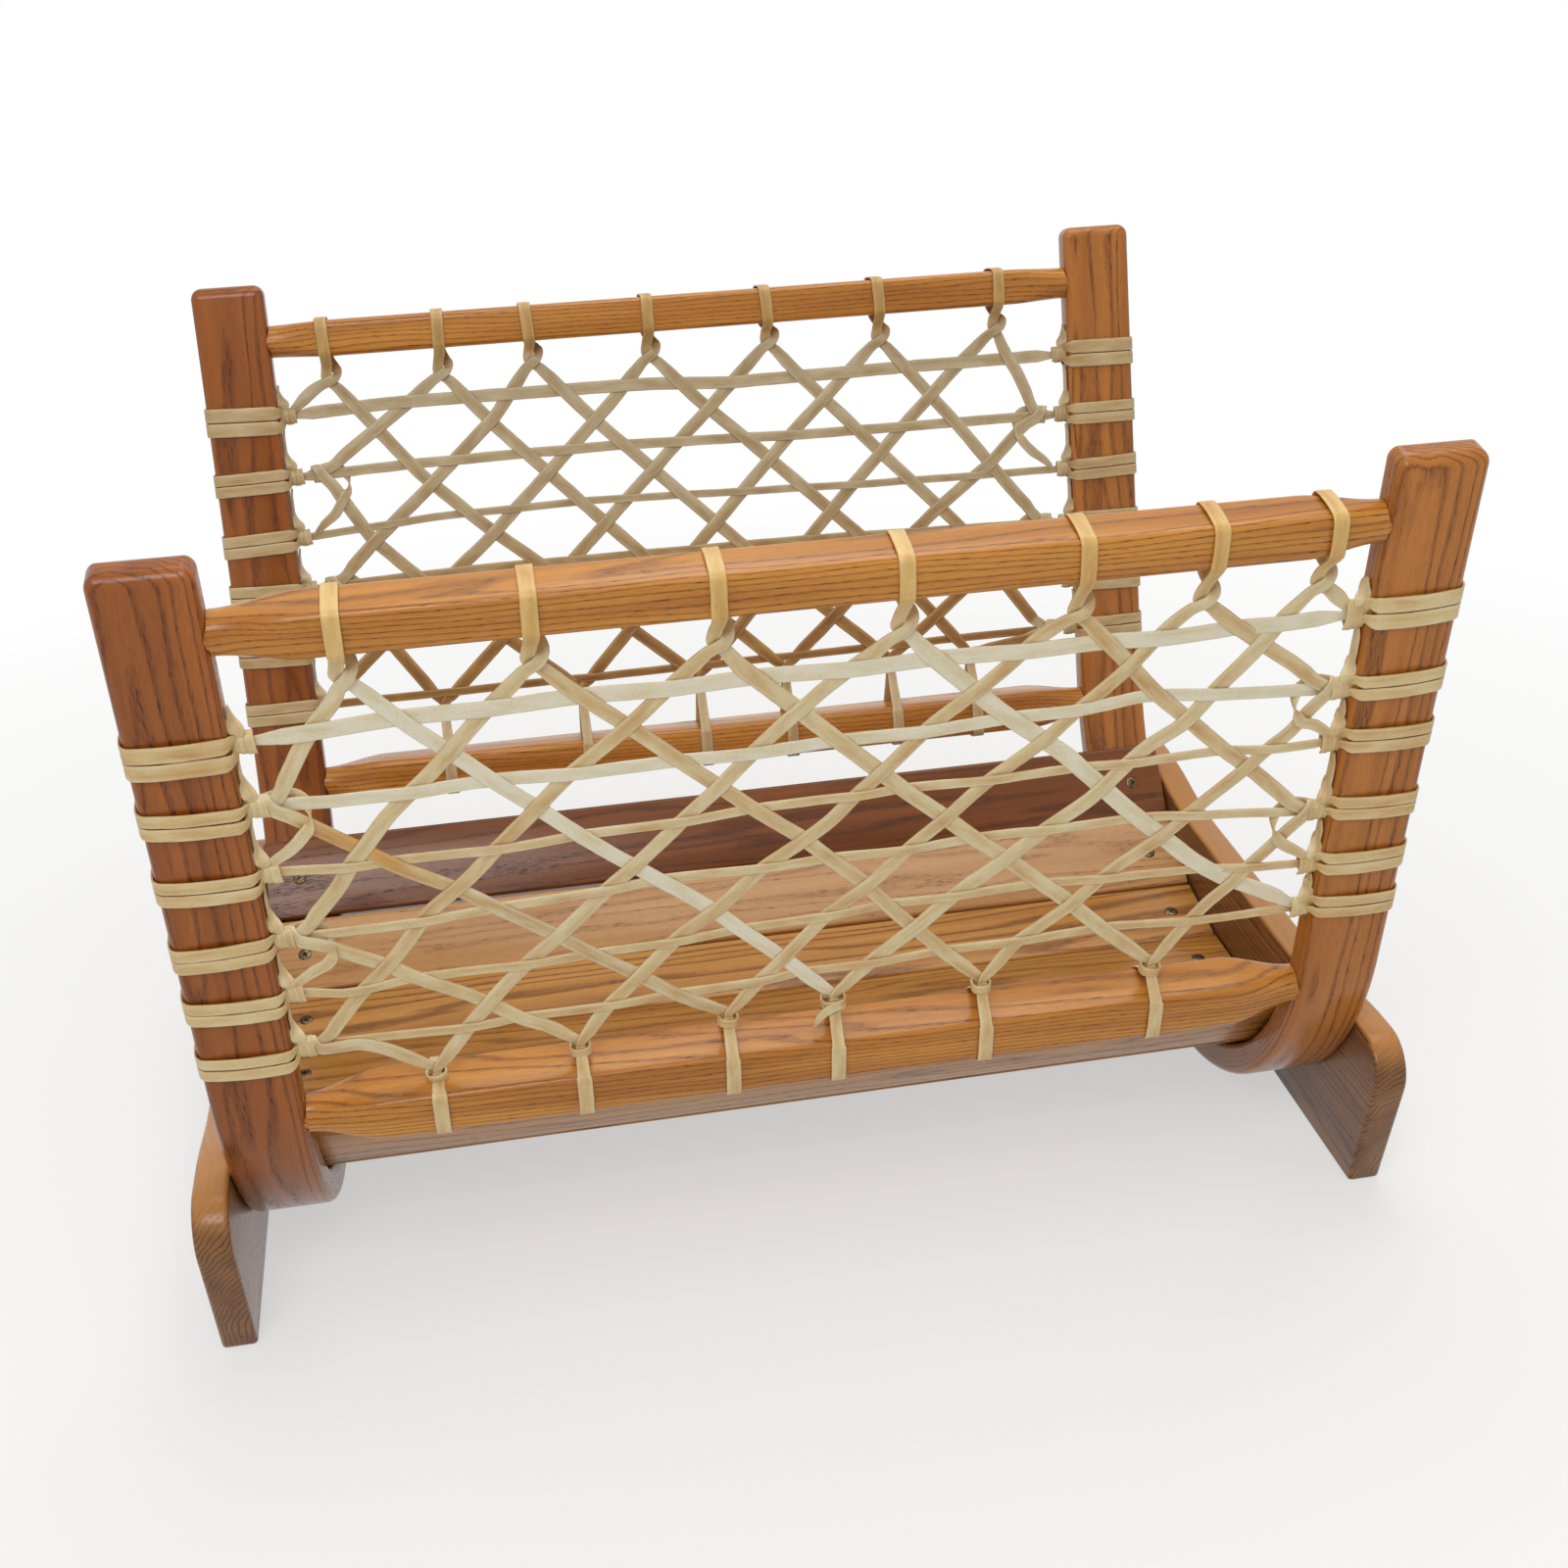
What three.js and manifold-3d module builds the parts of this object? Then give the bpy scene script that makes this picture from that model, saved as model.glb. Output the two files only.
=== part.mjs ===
// Woven log holder: two bent wooden U frames on end boards, joined by rails and floor slats,
// with a lacing of flat thong between the posts at the front and the rear.
// Millimetres and degrees. X runs along the holder, Y to the rear, Z up.
// The origin is on the floor, at the middle.

import * as THREE from 'three';
import { mergeVertices } from 'three/addons/utils/BufferGeometryUtils.js';
import Module from 'manifold-3d';

const wasm = await Module();
wasm.setup();

// Gap that touching pieces keep
const touch = 0.3;

// Bent U frames
const clearLength = 600;
const frameWidth = 51;
const frameThickness = 21.5;
const bendRadius = 217;
const flatLength = 52;
const legLean = 11.8;
const legLength = 355;
const frameLift = 6;
const frameEdge = 5.5;
const legTipRound = 8;
const bendSteps = 12;
const tipSteps = 3;

// End boards, which stand on the floor at the outer side of each frame
const boardThickness = 21.4;
const boardFootLength = 444;
const boardLength = 496;
const boardShoulderHeight = 118;
const boardShoulderRadius = 26;
const boardMiddleHeight = 105;
const boardLevelLength = 180;
const boardEdge = 3;

// Rails, set square to the lean of the lacing, with a tapered neck and a round tenon at each end
const topRail = { depth: 29, height: 26, drop: 41.4 };
const lowerRail = { depth: 34, height: 30, bendPlace: 73 };
const railEdge = 4.5;
const railTaper = 45;
const neckDiameter = 23;
const tenonDiameter = 19;
const tenonLength = 30;
const taperSteps = 4;
const roundSides = 16;
// Least flat that a round section keeps between its corners
const roundFlat = 0.3;

// Floor slats, laid across the bends
const slatWidth = 60;
const slatThickness = 19;
const slatEdge = 2.5;
const slatGap = 1.2;
const slatPairs = 3;
const slatEndGap = 1;

// Wood screws
const screwHead = 9.6;
const screwHeadDepth = 3.2;
const screwShank = 4.6;
const screwPoint = 4;
const slatScrewLength = 32;
const boardScrewLength = 42;
const boardScrewPlaces = [-42, -15, 15, 42];
const screwSides = 8;

// Lacing of flat thong
const thongThickness = 2;
const strapWidth = 9;
const slantWidth = 9.5;
const levelWidth = 7;
const wrapWidth = 8.5;
const wrapPitch = 9.1;
const wrapTurns = 2;

// Heights of the knots on each post, from the lower rail's axis, top to bottom
const frontLeftKnots = [267, 226, 182, 136, 96, 54];
const frontRightKnots = [281, 232, 195, 146, 105, 71];
const rearLeftKnots = [277, 232, 187, 148, 103, 59];
const rearRightKnots = [278, 232, 189, 147, 100, 62];

// Loops on the rails: place along X, and how far each hangs under the top rail or stands over the lower one
const frontTopLoops = [[-242, 19], [-148, 21], [-54, 21], [42, 23], [137, 25], [206, 25], [271, 21]];
const frontBottomLoops = [[-224, 6], [-141, 12], [-54, 20], [9, 24], [99, 21], [205, 17]];
const rearTopLoops = [[-261, 17], [-180, 18], [-113, 14], [-25, 16], [66, 14], [152, 18], [244, 17]];
const rearBottomLoops = [[-206, 36], [-100, 37], [-8, 37], [60, 37], [145, 36], [210, 34]];

// Ties beside the posts: how far they are from the posts, and the heights of the small loops that
// slanted thongs pass through
const frontTies = { reach: 15, left: [224, 136, 53], right: [227, 138] };
const rearTies = { reach: 27, left: [234, 152], right: [236, 151, 58] };

// Each thong by its ends and the bends between them. T and B are loops on the top and lower rail,
// K and R knots on the left and right post, L and M ties beside the left and right post, each counted
// from the left or the top.
const frontSlanted = [
  ['T1', [-84, 139], 'B4'],
  ['T2', [-10, 162], 'B5'],
  ['T3', [61, 175], 'B6'],
  ['T4', [137, 199], [244, 94], 'R6'],
  ['T5', [206, 216], 'M2'],
  ['T6', 'M1'],
  ['T7', 'R1'],
  ['L1', 'B3'],
  ['L2', 'B2'],
  ['L3', 'B1'],
  ['T1', [-261, 268], 'L1'],
  ['T2', [-230, 208], 'L2'],
  ['T3', [-140, 217], [-215, 139], 'L3'],
  ['T4', [-35, 226], [-138, 122], 'B1'],
  ['T5', [-56, 120], 'B2'],
  ['T6', [91, 184], 'B3'],
  ['T7', [204, 213], 'B4'],
  ['M1', [210, 142], 'B5'],
  ['M2', 'B6'],
  ['R4', 'M2'],
];
const frontLevel = [
  ['K1', [118, 273], 'R1'],
  ['K2', 'R2'],
  ['K3', [-156, 180], 'R3'],
  ['K4', [-174, 137], [100, 148], 'R4'],
  ['K5', [102, 107], 'R5'],
  ['K6', [-207, 52], 'R6'],
];
const rearSlanted = [
  ['T1', 'K1'],
  ['T2', 'L1'],
  ['T3', 'L2'],
  ['T4', [-182, 156], 'K6'],
  ['T5', 'B1'],
  ['T6', [73, 229], 'B2'],
  ['T7', [170, 236], 'B3'],
  ['T7', 'M1'],
  ['T6', 'M2'],
  ['T5', [190, 170], 'M3'],
  ['T4', [129, 150], 'B6'],
  ['T3', [-20, 207], 'B5'],
  ['T2', [-78, 188], 'B4'],
  ['T1', [-159, 184], 'B3'],
  ['L1', [-245, 183], 'B2'],
  ['L2', 'B1'],
  ['M1', 'B4'],
  ['M2', 'B5'],
  ['M3', 'B6'],
];
const rearLevel = [
  ['K1', 'R1'],
  ['K2', [-55, 237], 'R2'],
  ['K3', [-77, 197], 'R3'],
  ['K4', [-50, 153], 'R4'],
  ['K5', 'R5'],
  ['K6', 'R6'],
];

// Places that follow from the sizes
const centreRadius = bendRadius - frameThickness / 2;
const bendAngle = radians(90 - legLean);
const bendLength = centreRadius * bendAngle;
const bendHeight = frameLift + bendRadius;
const halfBar = flatLength / 2 + bendLength + legLength;
const frameMiddle = clearLength / 2 + frameWidth / 2;
const boardInside = clearLength / 2 + frameWidth + touch;
const lowerRailPlace = flatLength / 2 + centreRadius * radians(lowerRail.bendPlace);
const lowerAxis = barAt(lowerRailPlace);
const topAxis = barAt(halfBar - topRail.drop);
const lacingLean = Math.atan2(topAxis.y - lowerAxis.y, topAxis.z - lowerAxis.z);
const railDistance = Math.hypot(topAxis.y - lowerAxis.y, topAxis.z - lowerAxis.z);
const lacingEnd = clearLength / 2 - 2 * touch - thongThickness;

const holder = new THREE.Group();

function radians(degrees) {
  return degrees * Math.PI / 180;
}

/** Point of the bent bar's centreline at a distance from its middle, and the way its outer face looks. */
function barAt(distance) {
  const side = distance < 0 ? -1 : 1;
  const along = Math.abs(distance);
  const level = Math.min(along, flatLength / 2);
  const angle = THREE.MathUtils.clamp((along - flatLength / 2) / centreRadius, 0, bendAngle);
  const rise = Math.max(along - flatLength / 2 - bendLength, 0);
  return {
    y: side * (level + centreRadius * Math.sin(angle) + rise * Math.cos(angle)),
    z: bendHeight - centreRadius * Math.cos(angle) + rise * Math.sin(angle),
    outY: side * Math.sin(angle),
    outZ: -Math.cos(angle),
  };
}

/** Outline of a rectangle with rounded corners, counted in steps for each corner. */
function roundedRectangle(width, height, radius, steps) {
  const points = [];
  for (let corner = 0; corner < 4; corner += 1) {
    const signX = corner === 0 || corner === 3 ? 1 : -1;
    const signY = corner < 2 ? 1 : -1;
    for (let step = 0; step <= steps; step += 1) {
      const angle = (corner + step / steps) * Math.PI / 2;
      points.push([
        signX * (width / 2 - radius) + radius * Math.cos(angle),
        signY * (height / 2 - radius) + radius * Math.sin(angle),
      ]);
    }
  }
  return points;
}

/** Solid through rings with equal counts of points, whatever way they run; its ends are capped or meet. */
function loft(rings, endsMeet = false) {
  const count = rings[0].length;
  const positions = rings.flat(2);
  const faces = [];
  for (let ring = 0; ring + (endsMeet ? 0 : 1) < rings.length; ring += 1) {
    for (let i = 0; i < count; i += 1) {
      const next = (ring + 1) % rings.length * count;
      const beside = (i + 1) % count;
      faces.push([ring * count + i, ring * count + beside, next + beside]);
      faces.push([ring * count + i, next + beside, next + i]);
    }
  }
  const last = (rings.length - 1) * count;
  for (let i = 1; i + 1 < count && !endsMeet; i += 1) {
    faces.push([0, i + 1, i], [last, last + i, last + i + 1]);
  }
  if (signedVolume(positions, faces) < 0) {
    faces.forEach((face) => face.reverse());
  }
  const geometry = new THREE.BufferGeometry();
  geometry.setAttribute('position', new THREE.Float32BufferAttribute(positions, 3));
  geometry.setIndex(faces.flat());
  return geometry;
}

function signedVolume(positions, faces) {
  const corner = (index) => new THREE.Vector3().fromArray(positions, index * 3);
  return faces.reduce((sum, [a, b, c]) => sum + corner(a).dot(corner(b).cross(corner(c))) / 6, 0);
}

/** Solid for joining and cutting, from a closed geometry. */
function solid(geometry) {
  const bare = geometry.clone();
  bare.deleteAttribute('normal');
  bare.deleteAttribute('uv');
  const merged = mergeVertices(bare);
  return new wasm.Manifold(new wasm.Mesh({
    numProp: 3,
    vertProperties: new Float32Array(merged.attributes.position.array),
    triVerts: new Uint32Array(merged.index.array),
  }));
}

function shell(body) {
  const mesh = body.getMesh();
  const geometry = new THREE.BufferGeometry();
  geometry.setAttribute('position', new THREE.Float32BufferAttribute(mesh.vertProperties, 3));
  geometry.setIndex(Array.from(mesh.triVerts));
  return geometry;
}

function joined(geometries) {
  return geometries.map(solid).reduce((sum, next) => sum.add(next));
}

function cut(body, tools) {
  return tools.reduce((rest, tool) => rest.subtract(solid(tool)), body);
}

function box(minimum, maximum) {
  const size = maximum.map((value, axis) => value - minimum[axis]);
  const middle = maximum.map((value, axis) => (value + minimum[axis]) / 2);
  return new THREE.BoxGeometry(...size).translate(...middle);
}

/** Adds a named piece to a group, with its own material. */
function place(group, name, geometry, finish) {
  const material = new THREE.MeshStandardMaterial({ ...finish, flatShading: true });
  const mesh = new THREE.Mesh(geometry, material);
  mesh.name = name;
  group.add(mesh);
}

/** Wood screw with its head's top at the origin, pointing down Z; play makes the hole for it. */
function screwGeometry(length, play = 0) {
  const above = play > 0 ? 1 : 0;
  const head = screwHead / 2 + play;
  const shank = screwShank / 2 + play;
  const profile = [
    [0, -length - play],
    [shank, -length + screwPoint - play],
    [shank, -screwHeadDepth],
    [head, -play],
    [head, above],
    [0, above],
  ];
  const outline = play > 0 ? profile : profile.filter((point, index) => index !== 4);
  const points = outline.map(([r, z]) => new THREE.Vector2(r, z));
  return new THREE.LatheGeometry(points, screwSides).rotateX(Math.PI / 2);
}

// Floor slats: the middle one lies on the flat, the others as chords in the bends
const slatSeatRadius = Math.sqrt((bendRadius - frameThickness - touch) ** 2 - (slatWidth / 2) ** 2);
const slatTopRadius = slatSeatRadius - slatThickness;
const slatCornerRadius = Math.hypot(slatTopRadius, slatWidth / 2);
const slatHalfAngle = Math.atan2(slatWidth / 2, slatTopRadius);
const firstSlatShift = Math.asin((slatWidth / 2 + slatGap - flatLength / 2) / slatCornerRadius);
const firstSlatAngle = slatHalfAngle + firstSlatShift;
const slatPitch = 2 * slatHalfAngle + slatGap / slatCornerRadius;
const slatHalfLength = clearLength / 2 + frameWidth - slatEndGap;
const middleSlatRadius = bendHeight - frameLift - frameThickness - touch - slatThickness;

/** Turn and top middle of each slat, from the rear to the front. */
function slatPlaces() {
  const places = [];
  for (let step = slatPairs; step >= -slatPairs; step -= 1) {
    const side = Math.sign(step);
    const angle = side * (step === 0 ? 0 : firstSlatAngle + (Math.abs(step) - 1) * slatPitch);
    const radius = step === 0 ? middleSlatRadius : slatTopRadius;
    places.push({
      angle,
      y: side * flatLength / 2 + radius * Math.sin(angle),
      z: bendHeight - radius * Math.cos(angle),
    });
  }
  return places;
}

/** Moves a geometry made at a slat's top middle to that slat. */
function atSlat(geometry, { angle, y, z }) {
  return geometry.rotateX(angle).translate(0, y, z);
}

function slatScrews(x, play = 0) {
  const screw = () => screwGeometry(slatScrewLength, play).translate(x, 0, 0);
  return slatPlaces().map((spot) => atSlat(screw(), spot));
}

/** Screws through an end board into the frame, along X; side is -1 for the left end. */
function boardScrews(side, play = 0) {
  return boardScrewPlaces.map((degrees) => {
    const distance = Math.sign(degrees) * (flatLength / 2 + centreRadius * radians(Math.abs(degrees)));
    const { y, z } = barAt(distance);
    const screw = screwGeometry(boardScrewLength, play).rotateY(side * Math.PI / 2);
    return screw.translate(side * (boardInside + boardThickness), y, z);
  });
}

/** Bore in a frame's inner side for a rail's tenon. */
function tenonBore(side, { y, z }, end) {
  const depth = tenonLength + 2 * touch;
  const radius = tenonDiameter / 2 + touch;
  const bore = new THREE.CylinderGeometry(radius, radius, depth, roundSides);
  const middle = clearLength / 2 + depth / 2 - touch;
  return bore.rotateZ(Math.PI / 2).translate(side * middle, end * y, z);
}

function frameRing(side, distance, inset) {
  const edge = Math.max(frameEdge - inset, 1);
  const outline = roundedRectangle(frameWidth - 2 * inset, frameThickness - 2 * inset, edge, 2);
  const { y, z, outY, outZ } = barAt(distance);
  return outline.map(([across, out]) => [side * frameMiddle + across, y + out * outY, z + out * outZ]);
}

function uFrame(side) {
  const places = [];
  for (let step = 0; step <= tipSteps; step += 1) {
    const turn = step / tipSteps * Math.PI / 2;
    places.push([halfBar - legTipRound * (1 - Math.sin(turn)), legTipRound * (1 - Math.cos(turn))]);
  }
  places.reverse();
  for (let step = bendSteps; step >= 0; step -= 1) {
    places.push([flatLength / 2 + bendLength * step / bendSteps, 0]);
  }
  const half = places.map(([distance, inset]) => frameRing(side, -distance, inset));
  const otherHalf = places.map(([distance, inset]) => frameRing(side, distance, inset)).reverse();
  const tools = [
    ...slatScrews(side * frameMiddle, touch),
    ...boardScrews(side, touch),
    ...[-1, 1].flatMap((end) => [tenonBore(side, lowerAxis, end), tenonBore(side, topAxis, end)]),
  ];
  return shell(cut(solid(loft([...half, ...otherHalf])), tools));
}

function endBoard(side) {
  const foot = boardFootLength / 2 - boardEdge;
  const wide = boardLength / 2 - boardEdge;
  const level = boardLevelLength / 2;
  const radius = boardShoulderRadius - boardEdge;
  const shoulder = boardShoulderHeight - boardEdge;
  const middle = boardMiddleHeight - boardEdge;
  const slope = Math.atan2(wide - foot, shoulder - radius);
  const dip = (level + wide - radius) / 2;
  const outline = new THREE.Shape();
  outline.moveTo(-foot, boardEdge);
  outline.lineTo(foot, boardEdge);
  outline.absarc(wide - radius, shoulder - radius, radius, -slope, Math.PI / 2);
  outline.bezierCurveTo(dip, shoulder, dip, middle, level, middle);
  outline.lineTo(-level, middle);
  outline.bezierCurveTo(-dip, middle, -dip, shoulder, radius - wide, shoulder);
  outline.absarc(radius - wide, shoulder - radius, radius, Math.PI / 2, Math.PI + slope);
  outline.closePath();
  const slab = new THREE.ExtrudeGeometry(outline, {
    depth: boardThickness - 2 * boardEdge,
    bevelThickness: boardEdge,
    bevelSize: boardEdge,
    bevelSegments: 1,
    curveSegments: 6,
  });
  slab.rotateX(Math.PI / 2).rotateZ(Math.PI / 2);
  slab.translate(side * (boardInside + boardThickness / 2) - boardThickness / 2 + boardEdge, 0, 0);
  return shell(cut(solid(slab), boardScrews(side, touch)));
}

/** Rail along X at the origin: body, tapered necks and round tenons. */
function rail({ depth, height }) {
  const steps = roundSides / 4 - 1;
  const round = (diameter) => roundedRectangle(diameter, diameter, diameter / 2 - roundFlat, steps);
  const body = roundedRectangle(depth, height, railEdge, steps);
  const neck = round(neckDiameter);
  const tenon = round(tenonDiameter);
  const neckEnd = clearLength / 2 - touch;
  const half = [];
  for (let step = 0; step <= taperSteps; step += 1) {
    const share = step / taperSteps;
    const blend = share * share * (3 - 2 * share);
    const outline = body.map(([y, z], i) => {
      return [y + (neck[i][0] - y) * blend, z + (neck[i][1] - z) * blend];
    });
    half.push([neckEnd - railTaper * (1 - share), outline]);
  }
  half.push([neckEnd, tenon], [clearLength / 2 + tenonLength, tenon]);
  const rings = (side) => half.map(([x, outline]) => outline.map(([y, z]) => [side * x, y, z]));
  return loft([...rings(-1).reverse(), ...rings(1)]);
}

function slat(spot) {
  const outline = roundedRectangle(slatWidth, slatThickness, slatEdge, 2);
  const ends = [-slatHalfLength, slatHalfLength];
  const plank = loft(ends.map((x) => outline.map(([y, z]) => [x, y, z - slatThickness / 2])));
  const hole = (x) => screwGeometry(slatScrewLength, touch).translate(x, 0, 0);
  const tools = [hole(-frameMiddle), hole(frameMiddle)];
  return atSlat(shell(cut(solid(plank), tools)), spot);
}

/**
 * Flat thong through stations [u, v, w]: it bends in the u-v plane, where it is inPlane thick, and is
 * across thick along w. The put function turns u, v, w into x, y, z.
 */
function thong(stations, inPlane, across, put, endsMeet = false) {
  const count = stations.length;
  const runs = endsMeet ? count : count - 1;
  const directions = [...Array(runs).keys()].map((i) => {
    const [u, v] = stations[i];
    const [nextU, nextV] = stations[(i + 1) % count];
    return new THREE.Vector2(nextU - u, nextV - v).normalize();
  });
  const rings = stations.map(([u, v, w], i) => {
    const before = directions[endsMeet ? (i + runs - 1) % runs : Math.max(i - 1, 0)];
    const after = directions[Math.min(i, runs - 1)];
    const normal = new THREE.Vector2(-before.y - after.y, before.x + after.x);
    normal.multiplyScalar(inPlane / 2 / (1 + before.dot(after)));
    const half = across / 2;
    return [[1, -1], [1, 1], [-1, 1], [-1, -1]].map(([side, end]) => {
      return put(u + side * normal.x, v + side * normal.y, w + end * half);
    });
  });
  return loft(rings, endsMeet);
}

/**
 * Centreline of a post's lacing, one unbroken thong from the top down: two turns round the post at each
 * height, and a slanting run down the inner side to the next. Stations are across, out and up in the
 * post's own section.
 */
function postStations(heights) {
  const reachX = frameWidth / 2 + touch + thongThickness / 2;
  const reachOut = frameThickness / 2 + touch + thongThickness / 2;
  const corners = [[-reachX, reachOut], [reachX, reachOut], [reachX, -reachOut], [-reachX, -reachOut]];
  const turnLength = 4 * (reachX + reachOut);
  const cornerWay = [0, 2 * reachX, 2 * (reachX + reachOut), 4 * reachX + 2 * reachOut];
  return heights.flatMap((height) => {
    return [...Array(wrapTurns).keys()].flatMap((turn) => corners.map(([across, out], corner) => {
      const turned = turn + cornerWay[corner] / turnLength;
      return [across, out, height - (turned - wrapTurns / 2) * wrapPitch];
    }));
  });
}

/** Lacing of one post; side is -1 for left, end is -1 for front. */
function postLacing(side, end, heights) {
  const foot = barAt(end * (flatLength / 2 + bendLength));
  const put = (across, out, up) => {
    const rise = up - (flatLength / 2 + bendLength - lowerRailPlace);
    return [
      side * (frameMiddle + across),
      foot.y + out * foot.outY - rise * end * foot.outZ,
      foot.z + out * foot.outZ + rise * end * foot.outY,
    ];
  };
  return thong(postStations(heights), thongThickness, wrapWidth, put);
}

/** Loop of thong round a rail at height axis, drawn together at height tip. */
function railLoop({ depth, height }, x, axis, tip) {
  const reachOut = depth / 2 + touch + thongThickness / 2;
  const reachUp = height / 2 + touch + thongThickness / 2;
  const near = Math.sign(tip - axis) * reachUp;
  const stations = [
    [0, tip, x],
    [reachOut, axis + near, x],
    [reachOut, axis - near, x],
    [-reachOut, axis - near, x],
    [-reachOut, axis + near, x],
  ];
  return thong(stations, thongThickness, strapWidth, (out, up, along) => [along, out, up], true);
}

/** Heights where the loops of a panel end, from the lower rail's axis. */
function topTip(hang) {
  return railDistance - topRail.height / 2 - hang;
}

function bottomTip(stand) {
  return lowerRail.height / 2 + stand;
}

/** Lacing of one panel: a flat net without the weave's ups and downs, with its loops round both rails. */
function panelLacing(slanted, level, { tops, bottoms, left, right, ties }) {
  const tieX = clearLength / 2 - ties.reach;
  const points = {
    T: tops.map(([x, hang]) => [x, topTip(hang)]),
    B: bottoms.map(([x, stand]) => [x, bottomTip(stand)]),
    K: left.map((height) => [-clearLength / 2, height]),
    R: right.map((height) => [clearLength / 2, height]),
    L: ties.left.map((height) => [-tieX, height]),
    M: ties.right.map((height) => [tieX, height]),
  };
  const station = (stop) => {
    const [x, height] = typeof stop === 'string' ? points[stop[0]][stop.slice(1) - 1] : stop;
    return [x, height, 0];
  };
  const flat = (along, up, across) => [along, across, up];
  const bands = [
    ...slanted.map((stops) => thong(stops.map(station), slantWidth, thongThickness, flat)),
    ...level.map((stops) => thong(stops.map(station), levelWidth, thongThickness, flat)),
  ];
  const between = box([-lacingEnd, -thongThickness, 0], [lacingEnd, thongThickness, railDistance]);
  const loops = [
    ...points.T.map(([x, tip]) => railLoop(topRail, x, railDistance, tip)),
    ...points.B.map(([x, tip]) => railLoop(lowerRail, x, 0, tip)),
  ];
  return shell(joined(bands).intersect(solid(between)).add(joined(loops)));
}

const oak = { color: 0x9a5a26, roughness: 0.35, metalness: 0 };
const darkOak = { color: 0x7a4118, roughness: 0.35, metalness: 0 };
const goldenOak = { color: 0xb06a2c, roughness: 0.35, metalness: 0 };
const rawhide = { color: 0xd9c595, roughness: 0.45, metalness: 0 };
const bronze = { color: 0x6b5a3a, roughness: 0.4, metalness: 0.8 };

[[-1, 'left'], [1, 'right']].forEach(([side, sideName]) => {
  place(holder, `${sideName}_u_frame`, uFrame(side), oak);
  place(holder, `${sideName}_end_board`, endBoard(side), darkOak);
  slatScrews(side * frameMiddle).forEach((screw, index) => {
    place(holder, `${sideName}_slat_screw_${index + 1}`, screw, bronze);
  });
  boardScrews(side).forEach((screw, index) => {
    place(holder, `${sideName}_board_screw_${index + 1}`, screw, bronze);
  });
});

slatPlaces().forEach((spot, index) => {
  place(holder, `floor_slat_${index + 1}`, slat(spot), goldenOak);
});

const panels = {
  front: {
    end: -1,
    slanted: frontSlanted,
    level: frontLevel,
    points: {
      tops: frontTopLoops,
      bottoms: frontBottomLoops,
      left: frontLeftKnots,
      right: frontRightKnots,
      ties: frontTies,
    },
  },
  rear: {
    end: 1,
    slanted: rearSlanted,
    level: rearLevel,
    points: {
      tops: rearTopLoops,
      bottoms: rearBottomLoops,
      left: rearLeftKnots,
      right: rearRightKnots,
      ties: rearTies,
    },
  },
};

Object.entries(panels).forEach(([name, { end, slanted, level, points }]) => {
  const panel = new THREE.Group();
  panel.position.set(0, end * lowerAxis.y, lowerAxis.z);
  panel.rotation.x = -end * lacingLean;
  holder.add(panel);
  place(panel, `${name}_top_rail`, rail(topRail).translate(0, 0, railDistance), oak);
  place(panel, `${name}_lower_rail`, rail(lowerRail), oak);
  place(panel, `${name}_lacing`, panelLacing(slanted, level, points), rawhide);
  place(holder, `${name}_left_post_lacing`, postLacing(-1, end, points.left), rawhide);
  place(holder, `${name}_right_post_lacing`, postLacing(1, end, points.right), rawhide);
});

/** Least gap of a post's lacing to itself, on points along its centreline at least half a turn apart. */
function leastGap(heights) {
  const stations = postStations(heights);
  const stepsPerRun = 16;
  const points = stations.slice(1).flatMap((station, i) => {
    return [...Array(stepsPerRun).keys()].map((step) => {
      const from = new THREE.Vector3(...stations[i]);
      return from.lerp(new THREE.Vector3(...station), step / stepsPerRun);
    });
  });
  let least = Infinity;
  points.forEach((point, i) => {
    points.slice(i + 2 * stepsPerRun).forEach((other) => {
      least = Math.min(least, point.distanceTo(other) - wrapWidth);
    });
  });
  return least;
}

const knotLists = [frontLeftKnots, frontRightKnots, rearLeftKnots, rearRightKnots];
const least = Math.min(...knotLists.map(leastGap));
console.log(`least gap of a post's lacing to itself: ${least.toFixed(2)} mm`);

export default holder;
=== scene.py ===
"""Looks of the woven log holder: varnished oak, rawhide lacing and bronzed screws, round the solids."""

import math
import random

import bmesh
import bpy
import numpy as np
from mathutils import Matrix, Vector


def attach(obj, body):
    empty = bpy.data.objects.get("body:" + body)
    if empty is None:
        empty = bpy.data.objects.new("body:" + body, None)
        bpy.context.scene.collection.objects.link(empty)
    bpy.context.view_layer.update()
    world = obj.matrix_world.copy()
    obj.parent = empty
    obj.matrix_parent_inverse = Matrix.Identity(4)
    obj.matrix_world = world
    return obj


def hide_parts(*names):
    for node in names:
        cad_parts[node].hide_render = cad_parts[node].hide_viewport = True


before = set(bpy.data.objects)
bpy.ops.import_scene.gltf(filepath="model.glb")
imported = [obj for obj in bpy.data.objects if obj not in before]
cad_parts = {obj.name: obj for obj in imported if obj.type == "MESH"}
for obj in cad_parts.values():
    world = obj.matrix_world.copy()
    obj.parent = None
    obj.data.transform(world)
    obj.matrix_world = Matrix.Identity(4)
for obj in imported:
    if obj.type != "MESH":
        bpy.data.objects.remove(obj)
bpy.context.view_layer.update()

# Sizes in millimetres, the same as in the solid model
MM = 0.001
TOUCH = 0.3
CLEAR_LENGTH = 600.0
FRAME_WIDTH = 51.0
FRAME_THICKNESS = 21.5
BEND_RADIUS = 217.0
FLAT_LENGTH = 52.0
LEG_LEAN = 11.8
LEG_LENGTH = 355.0
FRAME_LIFT = 6.0
FRAME_EDGE = 5.5
LEG_TIP_ROUND = 8.0
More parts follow.
